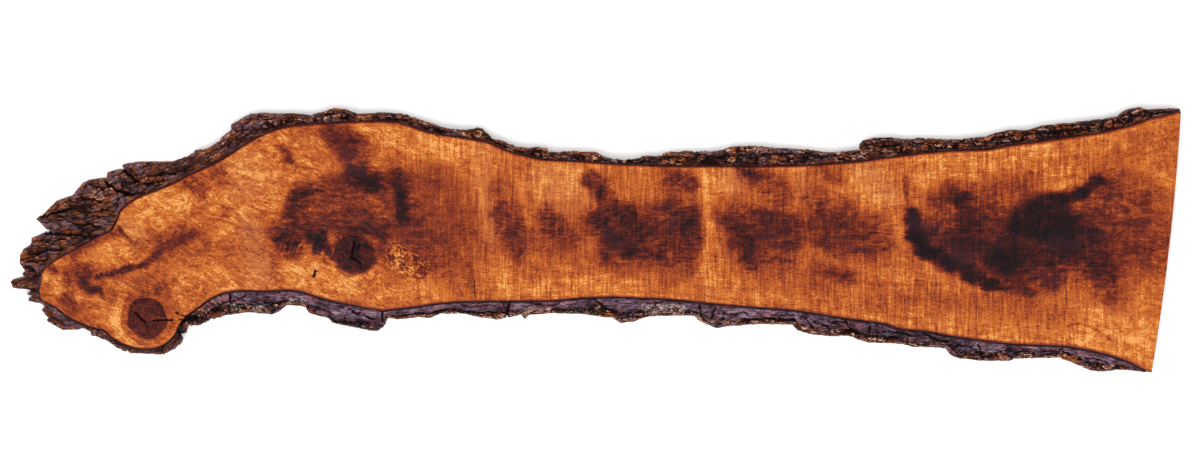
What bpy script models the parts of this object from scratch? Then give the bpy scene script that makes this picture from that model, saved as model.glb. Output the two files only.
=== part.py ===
"""A walnut slab with live edges, as it lies flat on a surface.

The slab is one length sawn from a bent, forked log. Its two faces are flat and its right end is a
bowed saw cut. All round the rest of it the tree's own bark is left on: a rough crust along the far
edge, oblique plates where the saw ran out of the log at the left end, the bark of a sawn-off branch
stub, and a thick, clean-sawn band along the near edge.

X runs along the slab and Y across it. Z is up from the face that it rests on. The plan below is in
millimetres, from the middle of the slab's plan; everything built is in metres.
"""

import bmesh
import bpy
import numpy as np

MM = 0.001

# Driving dimensions, in metres
SLAB_LENGTH = 2.0
SLAB_THICKNESS = 0.050
PLAN_LENGTH = 2.0  # the length that the plan's points are given for
BARK_GAP = 0.0005  # the dried bark's clearance from the wood
BARK_UNDERCUT = 0.001  # the bark has shrunk back this far from the sawn underside

# Stations along the live edge, in metres
STATION_STEP = 0.0125  # furthest apart
EDGE_CURVE_STEPS = 10  # points of the wood's curved edge between two points of the plan
STYLE_BLEND = 0.030  # length over which one kind of bark turns into the next
FLARE_BLEND = 0.035  # length over which the wood's lower outline is evened out
NORMAL_BLEND = 0.005  # length over which the direction of the wood's edge is evened out
FLARE_FADE = 0.14  # length over which the flare fades at the two ends of the live edge
FLARE_LIMIT = 0.9  # most of the evened reach that the flare may count on, as a share of the real one

# Relief of the bark's plates
PLATE_RISE = 0.0060  # step from the lowest plate to the highest
PROUD_SHARE = 0.25  # share of that step by which the highest plates stand out of the plain form
FURROW_DEPTH = 0.0050
FURROW_WIDTH = 0.30  # as a share of a plate's width
FULL_RELIEF_REACH = 0.022  # bark that stands out less than this has less relief
LEAST_COVER = 0.0020  # bark left over the wood under the deepest furrow
MOST_OBLIQUE = 0.4  # least cosine, from the edge's normal to the reach, that the cover is worked out for
RELIEF_SEED = 11

# The live edge in plan, in millimetres: from the right end's far corner along the far edge, round the
# left end and back along the near edge. Each stretch has its kind of bark, the points of the wood's
# edge, which is a smooth curve, and those of the bark's rim, which is ragged. A stretch ends where
# the next one starts.
LIVE_EDGE = [
    ("far_end", "crust",
     [(1000, 219), (978, 213), (947, 206), (923, 197)],
     [(998, 224), (976, 224), (945, 223), (930, 227), (913, 224), (901, 220)]),
    ("far_crotch", "crust",
     [(894, 189), (867, 183), (816, 175), (760, 167), (708, 160)],
     [(891, 212), (864, 205), (831, 202), (787, 197), (763, 195), (737, 188), (709, 188), (686, 183)]),
    ("far_thick_plate", "crust",
     [(671, 153), (633, 152), (592, 150), (541, 145), (487, 138)],
     [(668, 176), (630, 173), (591, 172), (553, 173), (529, 171), (504, 176), (477, 175), (458, 171),
      (451, 163)]),
    ("far_waist", "crust",
     [(451, 133), (402, 129), (350, 126), (280, 125), (209, 125), (132, 125)],
     [(451, 154), (432, 152), (400, 150), (378, 151), (364, 154), (313, 156), (280, 160), (240, 160),
      (209, 152), (170, 150), (132, 150), (112, 144)]),
    ("far_thin", "crust",
     [(79, 127), (49, 128), (6, 131), (-42, 134)],
     [(82, 144), (77, 139), (54, 136), (37, 137), (15, 143), (2, 150), (-35, 151), (-61, 150)]),
    ("far_neck", "crust",
     [(-83, 136), (-115, 142), (-142, 149), (-165, 158)],
     [(-79, 151), (-81, 157), (-101, 159), (-113, 157), (-136, 159), (-157, 170)]),
    ("far_hump_right", "crust",
     [(-183, 166), (-216, 172), (-250, 177), (-282, 183), (-325, 197)],
     [(-176, 172), (-176, 176), (-191, 190), (-199, 192), (-218, 188), (-246, 189), (-279, 199),
      (-322, 212)]),
    ("far_hump_left", "crust",
     [(-350, 201), (-403, 201), (-442, 199), (-480, 197), (-521, 193)],
     [(-349, 217), (-368, 218), (-403, 215), (-425, 223), (-444, 225), (-464, 219), (-482, 213),
      (-525, 216), (-551, 215)]),
    ("far_shoulder", "crust",
     [(-553, 184), (-586, 168), (-618, 147), (-647, 130)],
     [(-573, 217), (-586, 215), (-601, 207), (-621, 196), (-620, 188), (-637, 175), (-640, 169),
      (-661, 156), (-681, 153), (-683, 148)]),
    ("far_slope", "oblique",
     [(-685, 113), (-729, 91), (-770, 75), (-792, 63)],
     [(-700, 144), (-725, 136), (-763, 134), (-784, 133), (-806, 129), (-808, 122), (-833, 115),
      (-835, 106), (-864, 102)]),
    ("left_upper_plate", "oblique",
     [(-807, 50), (-812, 37), (-818, 24)],
     [(-876, 96), (-892, 76), (-919, 67), (-941, 45), (-955, 35)]),
    ("left_lower_plate", "oblique",
     [(-826, 15), (-857, 0), (-891, -19), (-923, -38)],
     [(-934, 15), (-962, 3), (-963, -8), (-976, -16), (-982, -27), (-983, -40), (-974, -53),
      (-979, -59)]),
    ("left_splinters", "splinter",
     [(-941, -55), (-942, -69), (-947, -88), (-943, -103)],
     [(-974, -63), (-993, -67), (-1000, -73), (-994, -83), (-965, -87), (-972, -94), (-961, -96),
      (-969, -101), (-967, -106)]),
    ("near_tip", "sawn",
     [(-932, -109), (-916, -117), (-901, -130), (-874, -144)],
     [(-940, -114), (-946, -121), (-943, -126), (-933, -135), (-938, -138), (-923, -148),
      (-907, -156), (-884, -154), (-875, -152)]),
    ("stub_left", "stub",
     [(-857, -150), (-836, -155), (-824, -166), (-802, -179), (-780, -185)],
     [(-861, -157), (-860, -165), (-847, -167), (-828, -176), (-815, -186), (-793, -194)]),
    ("stub_right", "stub",
     [(-761, -186), (-746, -184), (-730, -177), (-717, -164), (-710, -149)],
     [(-758, -196), (-735, -197), (-717, -188), (-703, -175)]),
    ("stub_notch", "stub",
     [(-703, -138), (-695, -130), (-675, -116)],
     [(-692, -147), (-676, -148)]),
    ("near_hollow", "sawn",
     [(-658, -103), (-635, -92), (-604, -87), (-562, -88)],
     [(-654, -137), (-632, -130), (-620, -128), (-594, -125), (-550, -128), (-536, -122)]),
    ("near_big_plate", "sawn",
     [(-526, -86), (-497, -90), (-458, -102), (-407, -113), (-364, -121)],
     [(-525, -112), (-494, -116), (-490, -125), (-453, -135), (-448, -142), (-395, -154),
      (-369, -156), (-357, -143)]),
    ("near_lichen", "sawn",
     [(-350, -120), (-301, -114), (-267, -109), (-221, -106), (-149, -105)],
     [(-353, -134), (-336, -137), (-299, -133), (-282, -135), (-263, -127), (-219, -128),
      (-196, -134), (-167, -137), (-149, -134)]),
    ("near_middle", "sawn",
     [(-125, -105), (-71, -104), (-20, -100), (32, -98)],
     [(-125, -128), (-119, -137), (-113, -129), (-71, -126), (-19, -128), (32, -135), (44, -143),
      (65, -141)]),
    ("near_ledge", "sawn",
     [(88, -100), (130, -102), (209, -110), (279, -116)],
     [(88, -133), (130, -130), (171, -131), (179, -140), (207, -152), (226, -149), (279, -145)]),
    ("near_flakes", "sawn",
     [(342, -121), (412, -132), (471, -140), (502, -145), (521, -152), (568, -157)],
     [(338, -146), (345, -155), (357, -160), (408, -166), (435, -165), (447, -171), (468, -176),
      (524, -179), (546, -184)]),
    ("near_chunks", "sawn",
     [(606, -164), (657, -171), (715, -178), (783, -181)],
     [(599, -186), (607, -197), (620, -203), (655, -207), (707, -208), (715, -204), (783, -202)]),
    ("near_end", "sawn",
     [(804, -182), (829, -186), (874, -196), (909, -208)],
     [(797, -202), (824, -215), (848, -224), (863, -226), (894, -223), (915, -224)]),
]
LIVE_EDGE_END = ((942, -225), (939, -227))  # the last point of the wood's edge and of the rim
TIP_STRETCH = "left_splinters"  # the stretch that turns from the far edge to the near one

# The bowed saw cut at the right end: its two corners in plan, and how far it bulges out of a
# straight line between them, in millimetres
SAW_CUT_NEAR, SAW_CUT_FAR = (950, -227), (1000, 219)
SAW_CUT_BULGE = 6.0
SAW_CUT_STEPS = 10

# Kinds of bark. The profile goes from the wood's upper edge out and down to the underside, as shares
# of the bark's reach, of the slab's thickness and of the full relief. The flare is how far the wood
# itself grows out under the bark towards the underside, as a share of the reach. The plate is the
# usual length and width of one bark plate, in metres.
BARK_KINDS = {
    "crust": {
        "profile": [(0.00, 0.97, 0.00), (0.14, 0.91, 0.50), (0.36, 0.81, 1.00), (0.60, 0.83, 1.00),
                    (0.85, 0.75, 0.60), (1.00, 0.56, 0.15), (0.99, 0.37, 0.70), (0.95, 0.19, 0.90),
                    (0.90, 0.02, 0.30)],
        "flare": 0.25, "plate": (0.090, 0.021)},
    "sawn": {
        "profile": [(0.00, 0.98, 0.00), (0.30, 0.965, 0.10), (0.58, 0.94, 0.30), (0.66, 0.83, 1.00),
                    (0.84, 0.73, 0.80), (0.97, 0.59, 0.30), (1.00, 0.39, 0.20), (0.96, 0.19, 0.90),
                    (0.90, 0.02, 0.30)],
        "flare": 0.32, "plate": (0.085, 0.024)},
    "oblique": {
        "profile": [(0.00, 0.97, 0.00), (0.08, 0.91, 0.50), (0.22, 0.80, 1.00), (0.38, 0.68, 1.00),
                    (0.55, 0.55, 1.00), (0.72, 0.42, 1.00), (0.87, 0.29, 0.60), (1.00, 0.14, 0.10),
                    (0.98, 0.02, 0.10)],
        "flare": 0.45, "plate": (0.085, 0.020)},
    "splinter": {
        "profile": [(0.00, 0.97, 0.00), (0.12, 0.86, 0.50), (0.27, 0.72, 1.00), (0.42, 0.60, 1.00),
                    (0.57, 0.50, 1.00), (0.73, 0.40, 0.80), (0.88, 0.30, 0.50), (1.00, 0.17, 0.10),
                    (0.97, 0.02, 0.10)],
        "flare": 0.15, "plate": (0.060, 0.011)},
    "stub": {
        "profile": [(0.00, 0.98, 0.00), (0.20, 0.96, 0.30), (0.42, 0.93, 0.70), (0.64, 0.84, 1.00),
                    (0.86, 0.73, 0.60), (1.00, 0.54, 0.15), (0.99, 0.36, 0.70), (0.96, 0.19, 0.90),
                    (0.90, 0.02, 0.30)],
        "flare": 0.30, "plate": (0.016, 0.045)},
}
KIND_NAMES = list(BARK_KINDS)
NEAR_PLATE_OFFSET = 5.2  # plate rows between the far edge's plates and the near edge's
PLATE_TILT = 0.5  # how much lower a plate is at its end than in its middle, as a share of the rise
PLATE_SPREAD = 0.7  # how far a plate's middle may lie from its cell's own middle, as a share of the cell
SHARP_EDGE = np.radians(35)


def start_clean():
    """Removes what the scene holds, and returns a new collection for the slab."""
    for obj in list(bpy.data.objects):
        bpy.data.objects.remove(obj, do_unlink=True)
    collection = bpy.data.collections.new("walnut_slab")
    bpy.context.scene.collection.children.link(collection)
    return collection


def to_metres(points):
    """Plan points in millimetres as an array in metres, at the slab's real length."""
    return np.array(points, float) * MM * (SLAB_LENGTH / PLAN_LENGTH)


def running_length(points):
    """The distance along a line of points, from its first point to each of them."""
    steps = np.linalg.norm(np.diff(points, axis=0), axis=1)
    return np.concatenate([[0.0], np.cumsum(steps)])


def along(points, shares):
    """Points on a line at these shares of its length."""
    length = running_length(points)
    at = np.asarray(shares) * length[-1]
    return np.stack([np.interp(at, length, points[:, axis]) for axis in (0, 1)], axis=1)


def curve_through(points, steps):
    """A smooth curve through the points (Catmull-Rom), with this many points from one to the next."""
    ends = np.vstack([2 * points[0] - points[1], points, 2 * points[-1] - points[-2]])
    before, start, stop, after = ends[:-3], ends[1:-2], ends[2:-1], ends[3:]
    curve = []
    for t in np.arange(steps) / steps:
        curve.append(0.5 * (2 * start + (stop - before) * t
                            + (2 * before - 5 * start + 4 * stop - after) * t**2
                            + (3 * start - 3 * stop + after - before) * t**3))
    return np.vstack([np.stack(curve, axis=1).reshape(-1, 2), points[-1]])


def edge_stations():
    """The wood's edge and the bark's rim at matching stations, and each station's kind of bark.

    Each stretch is divided by the rim's own corners, so that none of them is cut off, and then
    further until no two stations are more than STATION_STEP apart.
    """
    edge_points = to_metres(sum((wood for _, _, wood, _ in LIVE_EDGE), []) + [LIVE_EDGE_END[0]])
    edge_curve = curve_through(edge_points, EDGE_CURVE_STEPS)
    wood_edge, bark_rim, kinds = [], [], []
    tip_station = 0
    first = 0
    for number, (name, kind, wood, rim) in enumerate(LIVE_EDGE):
        last = first + len(wood) * EDGE_CURVE_STEPS
        wood_line = edge_curve[first:last + 1]
        is_last = number == len(LIVE_EDGE) - 1
        rim_line = to_metres(rim + [LIVE_EDGE_END[1] if is_last else LIVE_EDGE[number + 1][3][0]])
        corners = running_length(rim_line) / running_length(rim_line)[-1]
        longest = max(running_length(wood_line)[-1], running_length(rim_line)[-1])
        shares = []
        for start, stop in zip(corners[:-1], corners[1:]):
            pieces = int(np.ceil((stop - start) * longest / STATION_STEP))
            shares.extend(np.linspace(start, stop, pieces, endpoint=False))
        if is_last:
            shares.append(1.0)
        if name == TIP_STRETCH:
            tip_station = len(kinds) + len(shares) // 3  # at the longest splinter
        wood_edge.append(along(wood_line, shares))
        bark_rim.append(along(rim_line, shares))
        kinds.extend([KIND_NAMES.index(kind)] * len(shares))
        first = last
    return np.vstack(wood_edge), np.vstack(bark_rim), np.array(kinds), tip_station


def evened(values, distance, width):
    """Values along the edge, each replaced by a bell-weighted mean of its neighbours."""
    weights = np.exp(-0.5 * ((distance[:, None] - distance[None, :]) / width) ** 2)
    weights *= np.gradient(distance)[None, :]
    return weights @ values / weights.sum(axis=1, keepdims=True)


def cell_random(column, row, salt):
    """A repeatable random number from 0 to 1 for each cell of a grid."""
    mixed = (column * 374761393 + row * 668265263 + salt * 974634777 + RELIEF_SEED) & 0xFFFFFFFF
    mixed = ((mixed ^ (mixed >> 13)) * 1274126177) & 0xFFFFFFFF
    return ((mixed ^ (mixed >> 16)) & 0xFFFF) / 65535.0


def plate_relief(lengthwise, crosswise):
    """The plates' height as a share of PLATE_RISE, and the furrows' as a share of FURROW_DEPTH.

    Each cell of a staggered grid holds one plate. A point belongs to the plate whose middle is
    nearest, takes that plate's own height, tilted a little along it, and sinks into the furrow where
    the next plate is as near.
    """
    column, row = np.floor(lengthwise).astype(np.int64), np.floor(crosswise).astype(np.int64)
    nearest = np.full(lengthwise.shape, np.inf)
    second = np.full(lengthwise.shape, np.inf)
    height = np.zeros(lengthwise.shape)
    for step_along in (-1, 0, 1):
        for step_across in (-1, 0, 1):
            cell_column, cell_row = column + step_along, row + step_across
            middle_along = cell_column + 0.5 + PLATE_SPREAD * (cell_random(cell_column, cell_row, 1) - 0.5)
            middle_across = cell_row + 0.5 + PLATE_SPREAD * (cell_random(cell_column, cell_row, 2) - 0.5)
            away = np.hypot(lengthwise - middle_along, crosswise - middle_across)
            own_height = cell_random(cell_column, cell_row, 3)
            own_height = np.clip(own_height - PLATE_TILT * (lengthwise - middle_along), 0, 1)
            closer = away < nearest
            second = np.where(closer, nearest, np.minimum(second, away))
            height = np.where(closer, own_height, height)
            nearest = np.where(closer, away, nearest)
    furrow = np.clip(1 - (second - nearest) / FURROW_WIDTH, 0, 1)
    return height, furrow


def bark_sections(wood_edge, bark_rim, kinds, tip_station):
    """The bark's outer surface as rows of points, and the wood's wall under it, at every station.

    A row's place between the wood's edge and the rim, and its height, come from the profile of each
    kind of bark, blended from one stretch to the next.
    """
    distance = running_length(wood_edge)
    weights = evened(np.eye(len(KIND_NAMES))[kinds], distance, STYLE_BLEND)
    profiles = np.array([BARK_KINDS[name]["profile"] for name in KIND_NAMES])
    share, height, relief_share = np.einsum("sk,krp->psr", weights, profiles)
    reach_vector = bark_rim - wood_edge
    reach = np.linalg.norm(reach_vector, axis=1)

    direction = np.gradient(evened(wood_edge, distance, NORMAL_BLEND), axis=0)
    direction /= np.linalg.norm(direction, axis=1, keepdims=True)
    outward = np.stack([direction[:, 1], -direction[:, 0]], axis=1)

    # The wood's own wall: it leans out by the flare, which fades at the two ends of the live edge
    flare = weights @ np.array([BARK_KINDS[name]["flare"] for name in KIND_NAMES])
    to_nearer_end = np.minimum(distance, distance[-1] - distance)
    flare *= np.clip(to_nearer_end / FLARE_FADE, 0, 1)
    even_reach = evened(reach_vector, distance, FLARE_BLEND)
    even_length = np.linalg.norm(even_reach, axis=1)
    held_back = np.minimum(1.0, FLARE_LIMIT * reach / np.maximum(even_length, BARK_GAP))
    wood_foot = wood_edge + even_reach * (flare * held_back)[:, None]

    # The bark's rows, from its inner upper edge to its outer lower edge
    inner_top = wall_at(wood_edge, wood_foot, height[:, :1])[:, 0] + outward * BARK_GAP
    plan = inner_top[:, None, :] * (1 - share[:, :, None]) + bark_rim[:, None, :] * share[:, :, None]
    level = np.maximum(height * SLAB_THICKNESS, BARK_UNDERCUT)
    rows = np.concatenate([plan, level[:, :, None]], axis=2)
    strength = relief_share * np.clip(reach / FULL_RELIEF_REACH, 0, 1)[:, None]
    rows += relief_shift(rows, wood_edge, weights, tip_station, strength)

    # No furrow reaches the wood: a point too near the wood's wall is moved out along the reach
    wall = wall_at(wood_edge, wood_foot, rows[:, :, 2] / SLAB_THICKNESS)
    cover = np.einsum("srp,sp->sr", rows[:, :, :2] - wall, outward)
    reach_direction = reach_vector / reach[:, None]
    facing_out = np.maximum(np.einsum("sp,sp->s", reach_direction, outward), MOST_OBLIQUE)
    shortfall = np.maximum(BARK_GAP + LEAST_COVER - cover, 0) / facing_out[:, None]
    shortfall[:, 0] = 0
    rows[:, :, :2] += reach_direction[:, None, :] * shortfall[:, :, None]

    inner_foot = np.column_stack([wood_foot + outward * BARK_GAP,
                                  np.full(len(wood_edge), BARK_UNDERCUT)])
    return rows, inner_foot, wood_foot


def wall_at(wood_edge, wood_foot, height):
    """Where the wood's leaning wall stands in plan at these shares of the slab's thickness."""
    return wood_edge[:, None, :] * height[:, :, None] + wood_foot[:, None, :] * (1 - height[:, :, None])


def relief_shift(rows, wood_edge, weights, tip_station, strength):
    """How far the plates and furrows move each point of the bark's outer surface.

    Plates lie along the tree's fibres: along the edge itself on the two long sides, and along X at
    the left end, where the fibres run out at the rim.
    """
    plate_sizes = weights @ np.array([BARK_KINDS[name]["plate"] for name in KIND_NAMES])
    oblique = weights[:, [KIND_NAMES.index(name) for name in ("oblique", "splinter")]]
    oblique = oblique.sum(axis=1, keepdims=True)
    plates_passed = np.cumsum(np.diff(running_length(wood_edge), prepend=0.0) / plate_sizes[:, 0])
    from_tip = np.abs(plates_passed - plates_passed[tip_station])[:, None]
    down_the_side = np.linalg.norm(np.diff(rows, axis=1, prepend=rows[:, :1]), axis=2).cumsum(axis=1)
    is_near = (np.arange(len(rows)) > tip_station)[:, None]
    tip_x, tip_y = wood_edge[tip_station]
    size_along, size_across = plate_sizes[:, :1], plate_sizes[:, 1:]
    along_fibre = (1 - oblique) * from_tip + oblique * (rows[:, :, 0] - tip_x) / size_along
    across_edge = down_the_side / size_across + NEAR_PLATE_OFFSET * is_near
    across_tip = NEAR_PLATE_OFFSET - (rows[:, :, 1] - tip_y) / size_across
    across_fibre = (1 - oblique) * across_edge + oblique * across_tip
    plate, furrow = plate_relief(along_fibre, across_fibre)

    along_edge = np.gradient(rows, axis=0)
    down_profile = np.gradient(rows, axis=1)
    normal = np.cross(down_profile, along_edge)
    normal /= np.maximum(np.linalg.norm(normal, axis=2, keepdims=True), 1e-9)
    shift = (plate - 1 + PROUD_SHARE) * PLATE_RISE - furrow * FURROW_DEPTH
    return normal * (shift * strength)[:, :, None]


def saw_cut():
    """The bowed cut across the right end, from its near corner to its far corner, as a plan line."""
    near, far = to_metres([SAW_CUT_NEAR, SAW_CUT_FAR])
    along_cut = np.linspace(0, 1, SAW_CUT_STEPS + 1)[:, None]
    straight = near * (1 - along_cut) + far * along_cut
    run = (far - near) / np.linalg.norm(far - near)
    out_of_line = np.array([run[1], -run[0]])
    return straight + out_of_line * SAW_CUT_BULGE * MM * 4 * along_cut * (1 - along_cut)


def solid_object(name, points, faces, collection, material):
    """One closed mesh object, its faces pointing out, shaded smooth but for its sharp edges."""
    mesh = bpy.data.meshes.new(name)
    mesh.from_pydata([tuple(point) for point in points], [], faces)
    built = bmesh.new()
    built.from_mesh(mesh)
    bmesh.ops.recalc_face_normals(built, faces=built.faces)
    bmesh.ops.triangulate(built, faces=built.faces)
    built.to_mesh(mesh)
    built.free()
    mesh.materials.append(material)
    mesh.shade_smooth()
    mesh.set_sharp_from_angle(angle=SHARP_EDGE)
    obj = bpy.data.objects.new(name, mesh)
    collection.objects.link(obj)
    return obj


def make_wood(wood_edge, wood_foot, collection):
    """The sawn board: a loft from its upper outline to its lower one, which flares under the bark."""
    cut = saw_cut()
    upper = np.vstack([wood_edge, cut[:-1]])
    lower = np.vstack([wood_foot, cut[:-1]])
    count = len(upper)
    points = np.vstack([np.column_stack([upper, np.full(count, SLAB_THICKNESS)]),
                        np.column_stack([lower, np.zeros(count)])])
    faces = [tuple(range(count)), tuple(range(2 * count - 1, count - 1, -1))]
    for this in range(count):
        following = (this + 1) % count
        faces.append((this, following, following + count, this + count))
    return solid_object("sawn_wood", points, faces, collection,
                        plain_material("oiled_walnut", (0.42, 0.145, 0.035), 0.42))


def make_bark(rows, inner_foot, collection):
    """The bark: one closed section carried along the whole live edge, with an end face at each end."""
    ring = np.concatenate([inner_foot[:, None, :], rows], axis=1)
    stations, around = ring.shape[:2]
    points = ring.reshape(-1, 3)
    faces = [tuple(range(around)), tuple(range(stations * around - 1, (stations - 1) * around - 1, -1))]
    for station in range(stations - 1):
        for corner in range(around):
            after = (corner + 1) % around
            here, there = station * around, (station + 1) * around
            faces.append((here + corner, there + corner, there + after, here + after))
    return solid_object("bark", points, faces, collection,
                        plain_material("walnut_bark", (0.075, 0.036, 0.026), 0.62))


def plain_material(name, colour, roughness):
    """A Principled material of one colour."""
    material = bpy.data.materials.new(name)
    material.use_nodes = True
    shader = material.node_tree.nodes["Principled BSDF"]
    shader.inputs["Base Color"].default_value = (*colour, 1.0)
    shader.inputs["Roughness"].default_value = roughness
    shader.inputs["Metallic"].default_value = 0.0
    material.diffuse_color = (*colour, 1.0)
    return material


def main():
    collection = start_clean()
    wood_edge, bark_rim, kinds, tip_station = edge_stations()
    rows, inner_foot, wood_foot = bark_sections(wood_edge, bark_rim, kinds, tip_station)
    make_wood(wood_edge, wood_foot, collection)
    make_bark(rows, inner_foot, collection)


main()
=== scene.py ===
"""The looks of a walnut slab with live edges: its figured, sawn wood and the bark that is left on it.

The wood is one closed surface: a row of chords from the near edge to the far one, carried from the
left tip to the bowed saw cut. The bark is three bands, each a section carried along a part of the
edge, with plates, flakes and grit standing out of it. All plan tables are in millimetres, from the
middle of the slab's plan, and everything built is in metres.
"""

import bmesh
import bpy
import numpy as np
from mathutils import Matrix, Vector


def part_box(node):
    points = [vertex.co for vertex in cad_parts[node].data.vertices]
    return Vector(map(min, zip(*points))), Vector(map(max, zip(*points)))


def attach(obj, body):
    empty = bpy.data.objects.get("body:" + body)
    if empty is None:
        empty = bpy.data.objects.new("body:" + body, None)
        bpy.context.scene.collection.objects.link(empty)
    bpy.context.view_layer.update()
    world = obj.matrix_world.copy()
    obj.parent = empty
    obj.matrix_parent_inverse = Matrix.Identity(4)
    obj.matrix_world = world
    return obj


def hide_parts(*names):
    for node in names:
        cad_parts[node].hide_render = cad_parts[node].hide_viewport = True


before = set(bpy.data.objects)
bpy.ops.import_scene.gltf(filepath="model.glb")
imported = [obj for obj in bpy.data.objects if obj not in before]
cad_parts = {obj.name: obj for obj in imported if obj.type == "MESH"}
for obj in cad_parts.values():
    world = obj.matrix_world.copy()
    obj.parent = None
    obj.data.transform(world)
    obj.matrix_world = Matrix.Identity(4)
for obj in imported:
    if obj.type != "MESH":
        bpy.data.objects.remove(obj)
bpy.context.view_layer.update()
WOOD_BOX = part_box("sawn_wood")
BARK_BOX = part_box("bark")

bl_info = {
    "name": "Walnut Slab",
    "version": (1, 0, 0),
    "blender": (4, 5, 0),
    "location": "View3D > Sidebar > Slab",
    "description": "Makes a live-edge walnut slab with its bark and a plain studio round it",
    "category": "Add Mesh",
}

MM = 0.001
SLAB_THICKNESS = float(WOOD_BOX[1][2] - WOOD_BOX[0][2])
BARK_GAP = 0.0005
BARK_UNDERCUT = 0.001

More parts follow.
